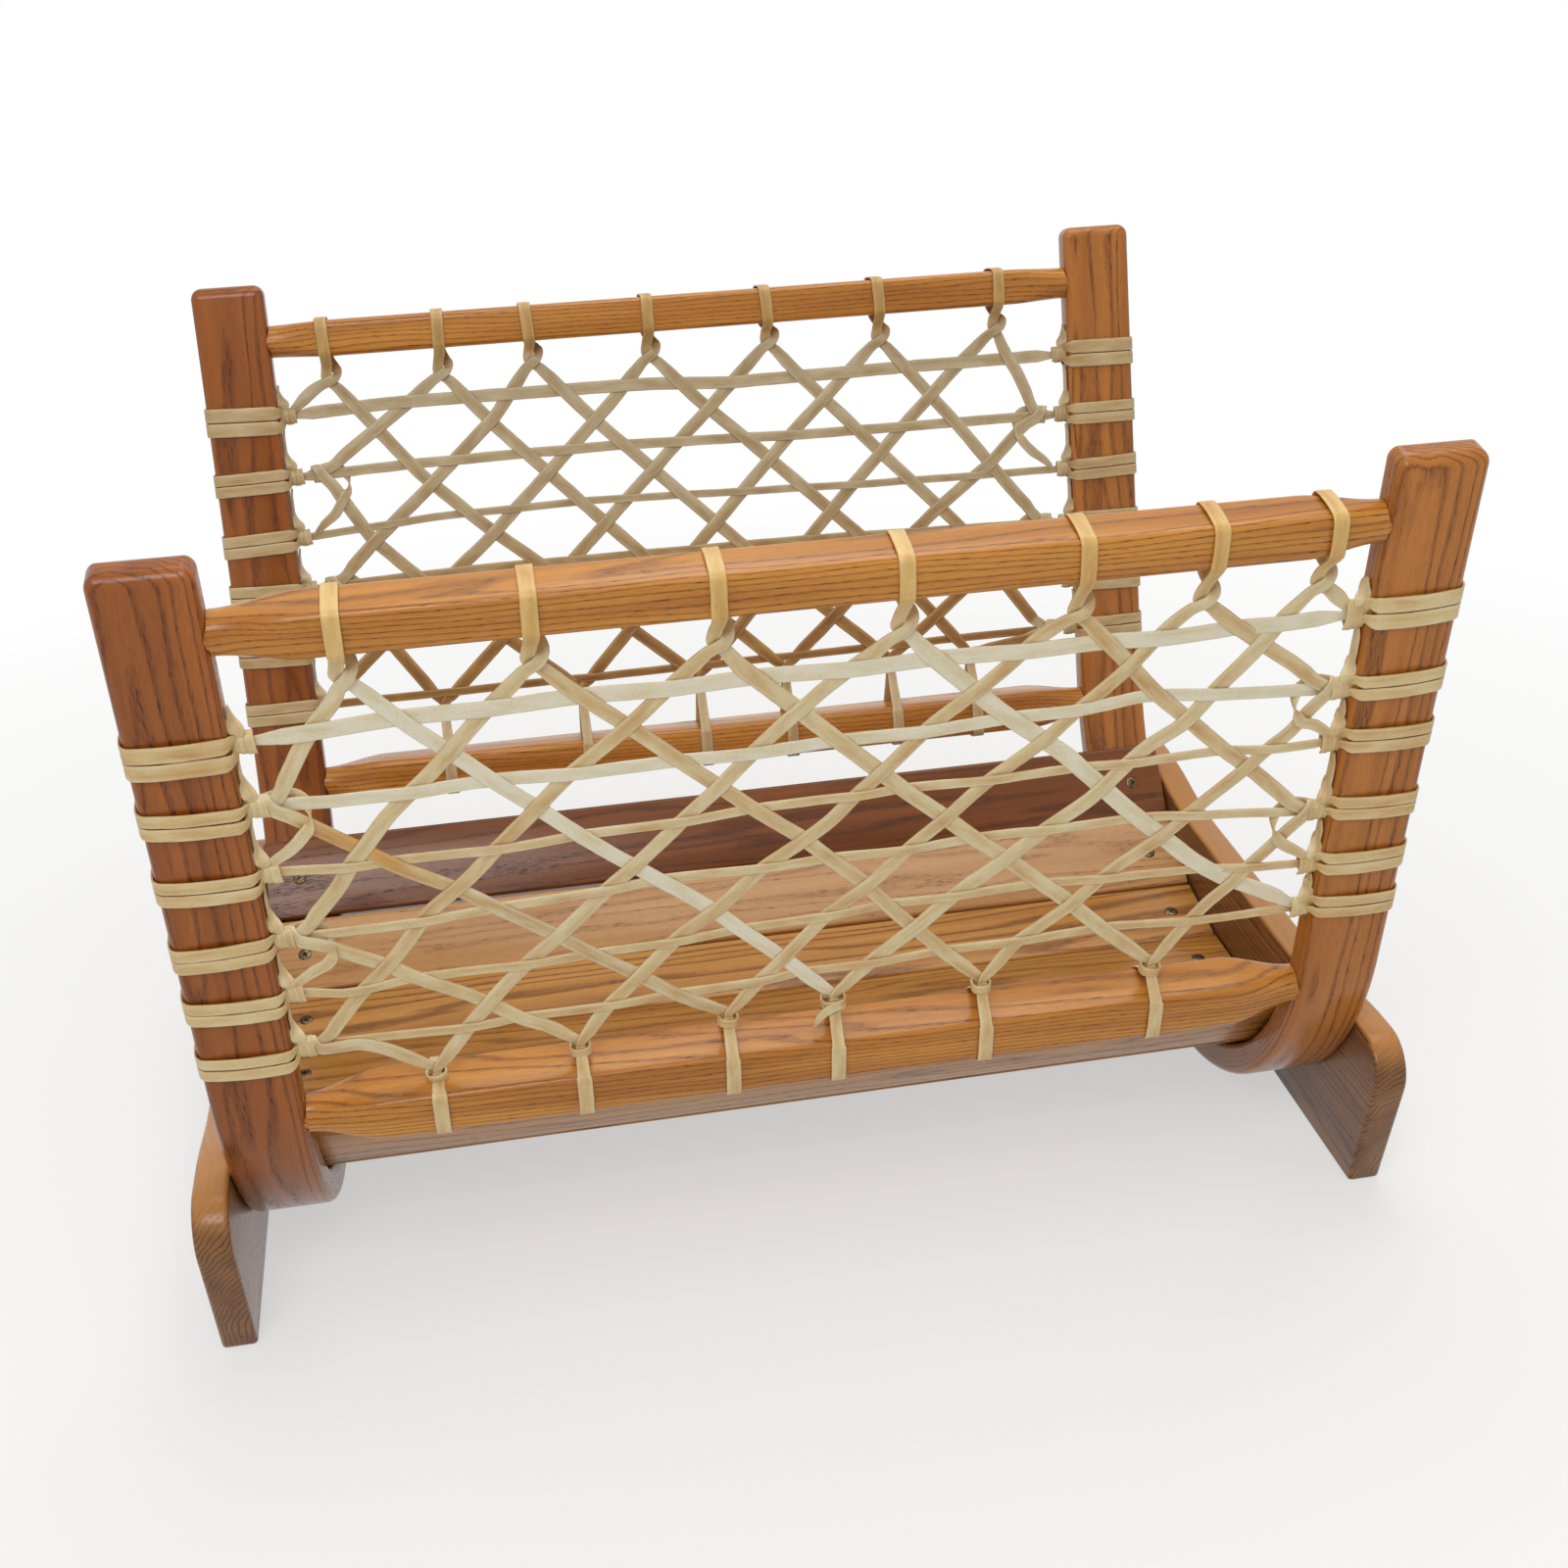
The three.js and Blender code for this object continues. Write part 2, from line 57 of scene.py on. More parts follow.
# The smooth edge of a tip would stand a little over the faceted solid, so the bar is this much shorter
LEG_TIP_EASE = 0.2
BOARD_THICKNESS = 21.4
BOARD_FOOT_LENGTH = 444.0
BOARD_LENGTH = 496.0
BOARD_SHOULDER_HEIGHT = 118.0
BOARD_SHOULDER_RADIUS = 26.0
BOARD_MIDDLE_HEIGHT = 105.0
BOARD_LEVEL_LENGTH = 180.0
BOARD_EDGE = 3.0
TOP_RAIL = {"depth": 29.0, "height": 26.0}
TOP_RAIL_DROP = 41.4
LOWER_RAIL = {"depth": 34.0, "height": 30.0}
LOWER_RAIL_BEND = 73.0
RAIL_EDGE = 4.5
RAIL_TAPER = 45.0
NECK_DIAMETER = 23.0
TENON_DIAMETER = 19.0
TENON_LENGTH = 30.0
SLAT_WIDTH = 60.0
SLAT_THICKNESS = 19.0
SLAT_EDGE = 2.5
SLAT_END_EDGE = 0.8
SLAT_GAP = 1.2
SLAT_PAIRS = 3
SLAT_END_GAP = 1.0
SCREW_HEAD = 9.6
SCREW_HEAD_DEPTH = 3.2
SCREW_SHANK = 4.6
SLAT_SCREW_LENGTH = 32.0
SCREW_POINT = 4.0
SCREW_SIDES = 24
SLAT_SCREW_SINK = 0.1
BOARD_SCREW_SINK = 0.7
BOARD_SCREW_PLACES = (-42, -15, 15, 42)

# Holes: their clearance round a screw, and tools that reach out of the piece on both sides
HOLE_CLEAR = 0.15
HOLE_TOP = 2.0
HOLE_SIDES = 32
BOARD_HOLE_LENGTH = BOARD_THICKNESS + 6
SLAT_HOLE_LENGTH = SLAT_THICKNESS + 4

# Rawhide, a little thinner than its solids so that it can pass over and under
HIDE = 1.35
HIDE_GAP = TOUCH + HIDE / 2

CENTRE_RADIUS = BEND_RADIUS - FRAME_THICKNESS / 2
BEND_ANGLE = math.radians(90 - LEG_LEAN)
BEND_LENGTH = CENTRE_RADIUS * BEND_ANGLE
BEND_HEIGHT = FRAME_LIFT + BEND_RADIUS
LEG_START = FLAT_LENGTH / 2 + BEND_LENGTH
HALF_BAR = LEG_START + LEG_LENGTH
FRAME_MIDDLE = CLEAR_LENGTH / 2 + FRAME_WIDTH / 2
BOARD_INSIDE = CLEAR_LENGTH / 2 + FRAME_WIDTH + TOUCH

SIDES = ((-1, "left"), (1, "right"))
ENDS = ((-1, "front"), (1, "rear"))


def bar_at(distance):
    """Point (y, z) of the bent bar's centreline and the way its outer face looks."""
    side = -1 if distance < 0 else 1
    along = abs(distance)
    level = min(along, FLAT_LENGTH / 2)
    angle = min(max((along - FLAT_LENGTH / 2) / CENTRE_RADIUS, 0), BEND_ANGLE)
    rise = max(along - FLAT_LENGTH / 2 - BEND_LENGTH, 0)
    y = side * (level + CENTRE_RADIUS * math.sin(angle) + rise * math.cos(angle))
    z = BEND_HEIGHT - CENTRE_RADIUS * math.cos(angle) + rise * math.sin(angle)
    return y, z, side * math.sin(angle), -math.cos(angle)


LOWER_PLACE = FLAT_LENGTH / 2 + CENTRE_RADIUS * math.radians(LOWER_RAIL_BEND)
LOWER_Y, LOWER_Z = bar_at(LOWER_PLACE)[:2]
TOP_Y, TOP_Z = bar_at(HALF_BAR - TOP_RAIL_DROP)[:2]
LEAN = math.atan2(TOP_Y - LOWER_Y, TOP_Z - LOWER_Z)
RAIL_DISTANCE = math.hypot(TOP_Y - LOWER_Y, TOP_Z - LOWER_Z)


def place_camera():
    """Camera, fitted to the photograph."""
    yaw, pitch, roll = math.radians(10.17), math.radians(-25.49), math.radians(-1.90)
    forward = Vector((math.sin(yaw) * math.cos(pitch), math.cos(yaw) * math.cos(pitch), math.sin(pitch)))
    right = Vector((math.cos(yaw), -math.sin(yaw), 0))
    up = right.cross(forward)
    rolled_right = math.cos(roll) * right + math.sin(roll) * up
    rolled_up = -math.sin(roll) * right + math.cos(roll) * up
    turn = Matrix((rolled_right, rolled_up, -forward)).transposed().to_4x4()
    data = bpy.data.cameras.new("camera")
    data.lens = 47.81
    data.sensor_width = 36
    data.shift_x = -0.0328
    data.shift_y = -0.0153
    data.clip_end = 100
    camera = bpy.data.objects.new("camera", data)
    camera.matrix_world = Matrix.Translation(Vector((-170.6, -1264.7, 854.5)) * MM) @ turn
    bpy.context.scene.collection.objects.link(camera)
    bpy.context.scene.camera = camera


place_camera()

# Kinds of node that are used often
MATH = "ShaderNodeMath"
VECTOR = "ShaderNodeVectorMath"
MIX = "ShaderNodeMix"
RAMP = "ShaderNodeValToRGB"
NOISE = "ShaderNodeTexNoise"
READ = "ShaderNodeAttribute"
JOIN_XYZ = "ShaderNodeCombineXYZ"
SPLIT_XYZ = "ShaderNodeSeparateXYZ"
STORE = "GeometryNodeStoreNamedAttribute"


def linear(colour):
    """sRGB hex colour, or a plain number for a grey, as linear RGBA."""
    if not isinstance(colour, str):
        return [colour] * 3 + [1.0]
    parts = [int(colour[i:i + 2], 16) / 255 for i in (1, 3, 5)]
    return [c / 12.92 if c <= 0.04045 else ((c + 0.055) / 1.055) ** 2.4 for c in parts] + [1.0]


def wire(node, links):
    """Gives inputs of a node, by name or in order, a value, an output, or a node's first output in use."""
    pairs = links.items() if isinstance(links, dict) else enumerate(links)
    for socket, source in pairs:
        if isinstance(source, bpy.types.Node):
            source = next(output for output in source.outputs if output.enabled)
        if isinstance(source, bpy.types.NodeSocket):
            node.id_data.links.new(source, node.inputs[socket])
        else:
            node.inputs[socket].default_value = source


def add(tree, kind, links=(), stops=(), **settings):
    """Adds a node with its settings, its links and, for a colour ramp, its stops as (position, colour)."""
    node = tree.nodes.new(kind)
    for name, value in settings.items():
        setattr(node, name, value)
    wire(node, links)
    if stops:
        elements = node.color_ramp.elements
        while len(elements) < len(stops):
            elements.new(0.5)
        for element, (position, colour) in zip(elements, stops):
            element.position = position
            element.color = linear(colour)
    return node


def new_material(name):
    material = bpy.data.materials.new(name)
    material.use_nodes = True
    tree = material.node_tree
    return material, tree, tree.nodes["Principled BSDF"]


def drawn_noise(tree, place, scale, detail):
    """Noise that is drawn out along some axes: scale gives its cells in a metre along each."""
    place = add(tree, "ShaderNodeMapping", {"Vector": place, "Scale": scale})
    return add(tree, NOISE, {"Vector": place, "Scale": 1.0, "Detail": detail})


def varnished_oak(name, light, mid, dark, deep, rings=3.4, ring_depth=0.55, edge=None):
    """Open-grained oak, honey stain and semi-gloss varnish: the stain gathers in the pores as dark lines."""
    material, tree, shader = new_material(name)
    grain = add(tree, READ, attribute_name="grain").outputs["Vector"]
    # Rings of the tree round a pith beside the piece, drawn out along it, one each few millimetres
    bent = add(tree, "ShaderNodeMapping", {"Vector": grain, "Location": (0, 18 * MM, -70 * MM),
                                           "Scale": (0.10, 1, 1)})
    waver = add(tree, NOISE, {"Vector": bent, "Scale": 34.0, "Detail": 2.0}).outputs["Color"]
    waver = add(tree, VECTOR, (waver, (0.5, 0.5, 0.5)), operation="SUBTRACT")
    waver = add(tree, VECTOR, {0: waver, "Scale": 0.017}, operation="SCALE")
    bent = add(tree, VECTOR, (bent, waver), operation="ADD")
    wave = add(tree, "ShaderNodeTexWave", {"Vector": bent, "Scale": 2 * math.pi / (20 * rings * MM),
                                           "Distortion": 1.1, "Detail": 2.0, "Detail Scale": 1.6},
               wave_type="RINGS", rings_direction="X", wave_profile="SAW").outputs["Fac"]
    early = add(tree, RAMP, (wave,), [(0.0, 1.0), (0.09, 0.9), (0.28, 0.10), (0.84, 0.0), (1.0, 0.9)])
    # Pores of the early wood: dashes a fraction of a millimetre wide and up to a centimetre long
    pores = add(tree, RAMP, (drawn_noise(tree, grain, (120, 1700, 1700), 1.0),), [(0.54, 0.0), (0.64, 0.85)])
    # Broad soft streaks of paler and darker wood
    streak = add(tree, RAMP, (drawn_noise(tree, grain, (3.0, 70, 70), 3.0),), [(0.30, 0.0), (0.72, 1.0)])
    ring_share = add(tree, MATH, (early, ring_depth), operation="MULTIPLY")
    near = add(tree, MATH, (early, 0.75, 0.16), operation="MULTIPLY_ADD")
    pore_share = add(tree, MATH, (pores, near), operation="MULTIPLY")
    layers = [(streak, mid), (ring_share, dark), (pore_share, deep)]
    if edge:
        # Painted light: the faces that look upwards are drawn paler, where the light from above falls on them
        facing = add(tree, SPLIT_XYZ, (add(tree, "ShaderNodeNewGeometry").outputs["Normal"],))
        painted_top_light = add(tree, "ShaderNodeMapRange",
                   {"Value": facing.outputs["Z"], "From Min": 0.35, "From Max": 0.9, "To Max": 0.8})
        layers.append((painted_top_light, edge))
    base = linear(light)
    for share, colour in layers:
        base = add(tree, MIX, {"Factor": share, "A": base, "B": linear(colour)}, data_type="RGBA")
    height = add(tree, MATH, (pore_share, -1.0), operation="MULTIPLY")
    bump = add(tree, "ShaderNodeBump", {"Strength": 0.35, "Distance": 0.0002, "Height": height})
    rough = add(tree, MATH, (pore_share, 0.25, 0.22), operation="MULTIPLY_ADD")
    wire(shader, {"Base Color": base, "Roughness": rough, "Normal": bump, "IOR": 1.5,
                  "Specular IOR Level": 0.25, "Coat Weight": 0.08, "Coat Roughness": 0.12})
    return material


def rawhide(name, pale, cream, tan, brown):
    """Untanned cowhide cut in strips and dried: waxy, a little translucent, cloudy, with darker cut edges."""
    material, tree, shader = new_material(name)
    strip = add(tree, READ, attribute_name="strip").outputs["Vector"]
    tone, rim, warm = (add(tree, READ, attribute_name=label).outputs["Fac"]
                       for label in ("tone", "rim", "warm"))
    cloud = add(tree, MATH, (drawn_noise(tree, strip, (42, 140, 1), 3.0), 0.5), operation="SUBTRACT")
    shade = add(tree, MATH, (cloud, 1.0, tone), operation="MULTIPLY_ADD")
    base = add(tree, RAMP, (shade,), [(0.0, pale), (0.30, cream), (0.62, tan), (1.0, brown)])
    speck = drawn_noise(tree, strip, (500, 900, 1), 2.0)
    # Over the specks, a pale band near the rims is painted highlight along them, and the cut edge itself is
    # dark
    for source, stops, colour in ((speck, [(0.55, 0.0), (0.80, 0.28)], brown),
                                  (rim, [(0.45, 0.0), (0.75, 0.35), (0.92, 0.30), (0.97, 0.0)], pale),
                                  (rim, [(0.94, 0.0), (1.0, 0.35)], brown)):
        share = add(tree, RAMP, (source,), stops)
        base = add(tree, MIX, {"Factor": share, "A": base, "B": linear(colour)}, data_type="RGBA")
    # Golden where the hide took up oil and smoke, and as painted shade low on the rear panel, under the front
    # rail
    base = add(tree, MIX, {"Factor": warm, "A": base, "B": (1.0, 0.74, 0.38, 1)}, data_type="RGBA",
               blend_type="MULTIPLY")
    crease = drawn_noise(tree, strip, (260, 700, 1), 3.0)
    bump = add(tree, "ShaderNodeBump", {"Strength": 0.4, "Distance": 0.0004, "Height": crease})
    rough = add(tree, MATH, (speck, 0.25, 0.30), operation="MULTIPLY_ADD")
    wire(shader, {"Base Color": base, "Roughness": rough, "Normal": bump, "IOR": 1.5,
                  "Subsurface Weight": 0.25, "Subsurface Radius": (1.0, 0.6, 0.3),
                  "Subsurface Scale": 0.0015})
    return material


def antique_bronze(name):
    """Steel screw with a dark bronze plating, rubbed a little brighter in small patches."""
    material, tree, shader = new_material(name)
    place = add(tree, "ShaderNodeTexCoord").outputs["Object"]
    wear = add(tree, NOISE, {"Vector": place, "Scale": 900.0, "Detail": 3.0})
    base = add(tree, RAMP, (wear,), [(0.35, "#2E2820"), (0.55, "#6B5A40"), (0.75, "#A08A62")])
    rough = add(tree, RAMP, (wear,), [(0.3, 0.5), (0.7, 0.28)])
    wire(shader, {"Base Color": base, "Roughness": rough, "Metallic": 0.9})
    return material


oak_frames = {
    -1: varnished_oak("varnished_oak_left_frame", "#AE6429", "#8F4E1D", "#602E10", "#341708", rings=3.6),
    1: varnished_oak("varnished_oak_right_frame", "#C87F38", "#A66428", "#6E3A15", "#3C1C0B", rings=3.6),
}
# Its edge colour is painted light, laid on the faces that look upwards
oak_board = varnished_oak("varnished_oak_board", "#9C6C40", "#7C5230", "#4C2C16", "#1E100A", rings=3.0,
                          ring_depth=0.7, edge="#C88A48")
oak_rail = varnished_oak("varnished_oak_rail", "#D8943F", "#B06C28", "#7C4516", "#4C260E")
oak_slats = (
    varnished_oak("varnished_oak_dark_slat", "#8E5224", "#6E3B14", "#4E260C", "#2A1307", rings=3.2),
    varnished_oak("varnished_oak_fine_slat", "#CE9C62", "#BC874C", "#98662F", "#64391A", rings=2.6,
                  ring_depth=0.4),
    varnished_oak("varnished_oak_streaked_slat", "#D69C54", "#B87C38", "#7A4418", "#40200C", rings=4.6,
                  ring_depth=0.7),
    varnished_oak("varnished_oak_plain_slat", "#C68C44", "#AC7230", "#744216", "#3C1E0A"),
)
hide_front = rawhide("rawhide_front", "#EAE3CB", "#DDD0A6", "#CBA873", "#A06E38")
# The rear hide is the front hide drawn greyer and darker as painted shade, since the rear lacing is lit less
rear_hide_in_painted_shade = rawhide("rawhide_rear_painted_shade", "#DAD0B8", "#C8B893", "#B09468", "#85623A")
bronze = antique_bronze("antique_bronze")


def to_object(name, bm, material):
    bmesh.ops.recalc_face_normals(bm, faces=bm.faces)
    mesh = bpy.data.meshes.new(name)
    bm.to_mesh(mesh)
    bm.free()
    piece = bpy.data.objects.new(name, mesh)
    bpy.context.scene.collection.objects.link(piece)
    mesh.materials.append(material)
    return piece


def baked(piece):
    """Applies a piece's modifiers."""
    depsgraph = bpy.context.evaluated_depsgraph_get()
    mesh = bpy.data.meshes.new_from_object(piece.evaluated_get(depsgraph), preserve_all_data_layers=True,
                                           depsgraph=depsgraph)
    piece.modifiers.clear()
    piece.data = mesh
    return piece


def soften(piece, degrees=32):
    piece.data.shade_smooth()
    piece.data.set_sharp_from_angle(angle=math.radians(degrees))


def into_model(piece, nodes):
    """Hides the solids of the nodes that a piece stands for, and hangs the piece on the root body."""
    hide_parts(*nodes)
    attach(piece, "root")


def finish_wood(piece, to_grain, node):
    """Gives a wooden piece its grain coordinates and its place in the model."""
    mesh = piece.data
    points = np.empty(len(mesh.vertices) * 3, np.float32)
    mesh.vertices.foreach_get("co", points)
    grain = np.array([to_grain(*point) for point in points.reshape(-1, 3) / MM], np.float32) * MM
    mesh.attributes.new("grain", "FLOAT_VECTOR", "POINT").data.foreach_set("vector", grain.ravel())
    soften(piece)
    into_model(piece, [node])


def rounded_rectangle(width, height, radius, steps):
    points = []
    for corner in range(4):
        sign_x = 1 if corner in (0, 3) else -1
        sign_y = 1 if corner < 2 else -1
        for step in range(steps + 1):
            angle = (corner + step / steps) * math.pi / 2
            points.append((sign_x * (width / 2 - radius) + radius * math.cos(angle),
                           sign_y * (height / 2 - radius) + radius * math.sin(angle)))
    return points


def loft(name, rings, material):
    """Closed solid through rings of points."""
    bm = bmesh.new()
    verts = [[bm.verts.new(Vector(point) * MM) for point in ring] for ring in rings]
    for ring, after in zip(verts, verts[1:]):
        for i in range(len(ring)):
            j = (i + 1) % len(ring)
            bm.faces.new((ring[i], ring[j], after[j], after[i]))
    bm.faces.new(verts[0])
    bm.faces.new(verts[-1])
    return to_object(name, bm, material)


def turned(name, profile, sides):
    """Solid that is turned about Z, from a profile of (radius, height)."""
    bm = bmesh.new()
    rings = []
    for k in range(sides):
        angle = k / sides * 2 * math.pi
        c, s = math.cos(angle), math.sin(angle)
        rings.append([bm.verts.new(Vector((r * c, r * s, z)) * MM) for r, z in profile])
    for ring, after in zip(rings, rings[1:] + rings[:1]):
        for i in range(len(profile) - 1):
            bm.faces.new((ring[i], ring[i + 1], after[i + 1], after[i]))
    bmesh.ops.remove_doubles(bm, verts=bm.verts, dist=1e-7)
    return to_object(name, bm, bronze)


def cut_with(piece, tools):
    """Cuts the tools out of a piece."""
    for tool in tools:
        modifier = piece.modifiers.new("cut", "BOOLEAN")
        modifier.operation = "DIFFERENCE"
        modifier.solver = "EXACT"
        modifier.object = tool
    baked(piece)
    for tool in tools:
        bpy.data.objects.remove(tool)


def screw_hole(length, place):
    """Tool that cuts a screw's hole and its countersink."""
    head, shank = SCREW_HEAD / 2 + HOLE_CLEAR, SCREW_SHANK / 2 + HOLE_CLEAR
    profile = [(0, -length), (shank, -length), (shank, -SCREW_HEAD_DEPTH), (head, 0), (head, HOLE_TOP),
               (0, HOLE_TOP)]
    tool = turned("hole", profile, HOLE_SIDES)
    tool.data.transform(place)
    return tool


def bent_frame(side, side_name):
    tip_steps, leg_steps, bend_steps = 8, 8, 60
    tip_start = HALF_BAR - LEG_TIP_EASE - LEG_TIP_ROUND
    # Distances from the bar's middle, from its tip inwards, each with how far the section is drawn in there
    places = []
    for step in range(tip_steps, -1, -1):
        turn = step / tip_steps * math.pi / 2
        places.append((HALF_BAR - LEG_TIP_EASE - LEG_TIP_ROUND * (1 - math.sin(turn)),
                       LEG_TIP_ROUND * (1 - math.cos(turn))))
    places += [(LEG_START + (tip_start - LEG_START) * k / leg_steps, 0) for k in range(leg_steps - 1, 0, -1)]
    places += [(FLAT_LENGTH / 2 + BEND_LENGTH * k / bend_steps, 0) for k in range(bend_steps, -1, -1)]

    def ring(distance, inset):
        outline = rounded_rectangle(FRAME_WIDTH - 2 * inset, FRAME_THICKNESS - 2 * inset,
                                    max(FRAME_EDGE - inset, 1.0), 6)
        y, z, out_y, out_z = bar_at(distance)
        return [(side * FRAME_MIDDLE + across, y + out * out_y, z + out * out_z) for across, out in outline]

    rings = [ring(-distance, inset) for distance, inset in places]
    rings += [ring(distance, inset) for distance, inset in reversed(places)]
    piece = loft(f"{side_name}_bent_frame", rings, oak_frames[side])

    def grain(x, y, z):
        away = abs(y) - FLAT_LENGTH / 2
        turn = math.atan2(away, BEND_HEIGHT - z)
        if away <= 0:
            along, out = abs(y), BEND_HEIGHT - z - CENTRE_RADIUS
        elif turn < BEND_ANGLE:
            along = FLAT_LENGTH / 2 + CENTRE_RADIUS * turn
            out = math.hypot(away, BEND_HEIGHT - z) - CENTRE_RADIUS
        else:
            foot_y, foot_z, out_y, out_z = bar_at(LEG_START)
            along = LEG_START + (abs(y) - foot_y) * -out_z + (z - foot_z) * out_y
            out = (abs(y) - foot_y) * out_y + (z - foot_z) * out_z
        # Each piece reads the pattern far from the others, so that no two look alike
        return math.copysign(along, y) + side * 2500, x - side * FRAME_MIDDLE, out

    finish_wood(piece, grain, f"{side_name}_u_frame")


def end_board(side, side_name):
    foot, wide = BOARD_FOOT_LENGTH / 2, BOARD_LENGTH / 2
    level = BOARD_LEVEL_LENGTH / 2
    radius, shoulder = BOARD_SHOULDER_RADIUS, BOARD_SHOULDER_HEIGHT
    slope = math.atan2(wide - foot, shoulder - radius)
    dip = (level + wide - radius) / 2
    round_steps, dip_steps = 18, 16
    half = [(foot, 0)]
    for step in range(round_steps + 1):
        angle = -slope + (math.pi / 2 + slope) * step / round_steps
        half.append((wide - radius + radius * math.cos(angle), shoulder - radius + radius * math.sin(angle)))
    for step in range(1, dip_steps + 1):
        t = step / dip_steps
        a, b, c, d = (1 - t) ** 3, 3 * t * (1 - t) ** 2, 3 * t * t * (1 - t), t ** 3
        half.append((a * (wide - radius) + (b + c) * dip + d * level,
                     (a + b) * shoulder + (c + d) * BOARD_MIDDLE_HEIGHT))
    outline = half + [(-y, z) for y, z in reversed(half)]
    inside = side * BOARD_INSIDE
    outside = side * (BOARD_INSIDE + BOARD_THICKNESS)
    piece = loft(f"{side_name}_standing_board", [[(x, y, z) for y, z in outline] for x in (inside, outside)],
                 oak_board)
    edge = piece.modifiers.new("eased_edges", "BEVEL")
    edge.width = BOARD_EDGE * MM
    edge.segments = 4
    edge.limit_method = "ANGLE"
    edge.angle_limit = math.radians(30)
    baked(piece)
    cut_with(piece, [screw_hole(BOARD_HOLE_LENGTH, board_screw_place(side, degrees))
                     for degrees in BOARD_SCREW_PLACES])

    def grain(x, y, z):
        return y + side * 3700, z * 0.9 + y * 0.03, x - inside

    finish_wood(piece, grain, f"{side_name}_end_board")


def board_screw_place(side, degrees):
    distance = math.copysign(FLAT_LENGTH / 2 + CENTRE_RADIUS * math.radians(abs(degrees)), degrees)
    y, z = bar_at(distance)[:2]
    spot = Vector((side * (BOARD_INSIDE + BOARD_THICKNESS), y, z)) * MM
    return Matrix.Translation(spot) @ Matrix.Rotation(side * math.pi / 2, 4, "Y")


def panel_matrix(end):
    """Panel coordinates (x, up from the lower rail's axis, towards the viewer's side -Y) to the holder's."""
    up = Vector((0, end * math.sin(LEAN), math.cos(LEAN)))
    near = Vector((0, -math.cos(LEAN), end * math.sin(LEAN)))
    turn = Matrix((Vector((1, 0, 0)), up, near)).transposed().to_4x4()
    return Matrix.Translation((0, end * LOWER_Y, LOWER_Z)) @ turn


def rail(name, node, end, size, height, slant):
    steps, taper_steps = 5, 16
    body = rounded_rectangle(size["depth"], size["height"], RAIL_EDGE, steps)
    neck, tenon = (rounded_rectangle(diameter, diameter, diameter / 2 - 0.01, steps)
                   for diameter in (NECK_DIAMETER, TENON_DIAMETER))
    neck_end = CLEAR_LENGTH / 2 - TOUCH
    half = []
    for step in range(taper_steps + 1):
        share = step / taper_steps
        blend = share * share * (3 - 2 * share)
        ring = [(a + (c - a) * blend, b + (d - b) * blend) for (a, b), (c, d) in zip(body, neck)]
        half.append((neck_end - RAIL_TAPER * (1 - share), ring))
    half += [(neck_end, tenon), (CLEAR_LENGTH / 2 + TENON_LENGTH, tenon)]
    matrix = panel_matrix(end)
    rings = [[matrix @ Vector((-x, height + b, a)) for a, b in ring] for x, ring in reversed(half)]
    rings += [[matrix @ Vector((x, height + b, a)) for a, b in ring] for x, ring in half]
    piece = loft(name, rings, oak_rail)
    back = matrix.inverted()

    def grain(x, y, z):
        local = back @ Vector((x, y, z))
        return x + height * 7 + end * 900, local.z + x * slant, local.y - height + x * 0.02

    finish_wood(piece, grain, node)


SEAT_RADIUS = math.sqrt((BEND_RADIUS - FRAME_THICKNESS - TOUCH) ** 2 - (SLAT_WIDTH / 2) ** 2)
SLAT_TOP_RADIUS = SEAT_RADIUS - SLAT_THICKNESS
SLAT_CORNER_RADIUS = math.hypot(SLAT_TOP_RADIUS, SLAT_WIDTH / 2)
SLAT_HALF_ANGLE = math.atan2(SLAT_WIDTH / 2, SLAT_TOP_RADIUS)
FIRST_SLAT_REACH = SLAT_WIDTH / 2 + SLAT_GAP - FLAT_LENGTH / 2
FIRST_SLAT_ANGLE = SLAT_HALF_ANGLE + math.asin(FIRST_SLAT_REACH / SLAT_CORNER_RADIUS)
SLAT_PITCH = 2 * SLAT_HALF_ANGLE + SLAT_GAP / SLAT_CORNER_RADIUS
SLAT_HALF_LENGTH = CLEAR_LENGTH / 2 + FRAME_WIDTH - SLAT_END_GAP
MIDDLE_SLAT_DEPTH = BEND_HEIGHT - FRAME_LIFT - FRAME_THICKNESS - TOUCH - SLAT_THICKNESS


def slat_places():
    """Matrix of each slat's top middle, from the rear to the front."""
    places = []
    for step in range(SLAT_PAIRS, -SLAT_PAIRS - 1, -1):
        side = (step > 0) - (step < 0)
        angle = side * (FIRST_SLAT_ANGLE + (abs(step) - 1) * SLAT_PITCH) if step else 0
        radius = SLAT_TOP_RADIUS if step else MIDDLE_SLAT_DEPTH
        y = side * FLAT_LENGTH / 2 + radius * math.sin(angle)
        z = BEND_HEIGHT - radius * math.cos(angle)
        places.append(Matrix.Translation(Vector((0, y, z)) * MM) @ Matrix.Rotation(angle, 4, "X"))
    return places


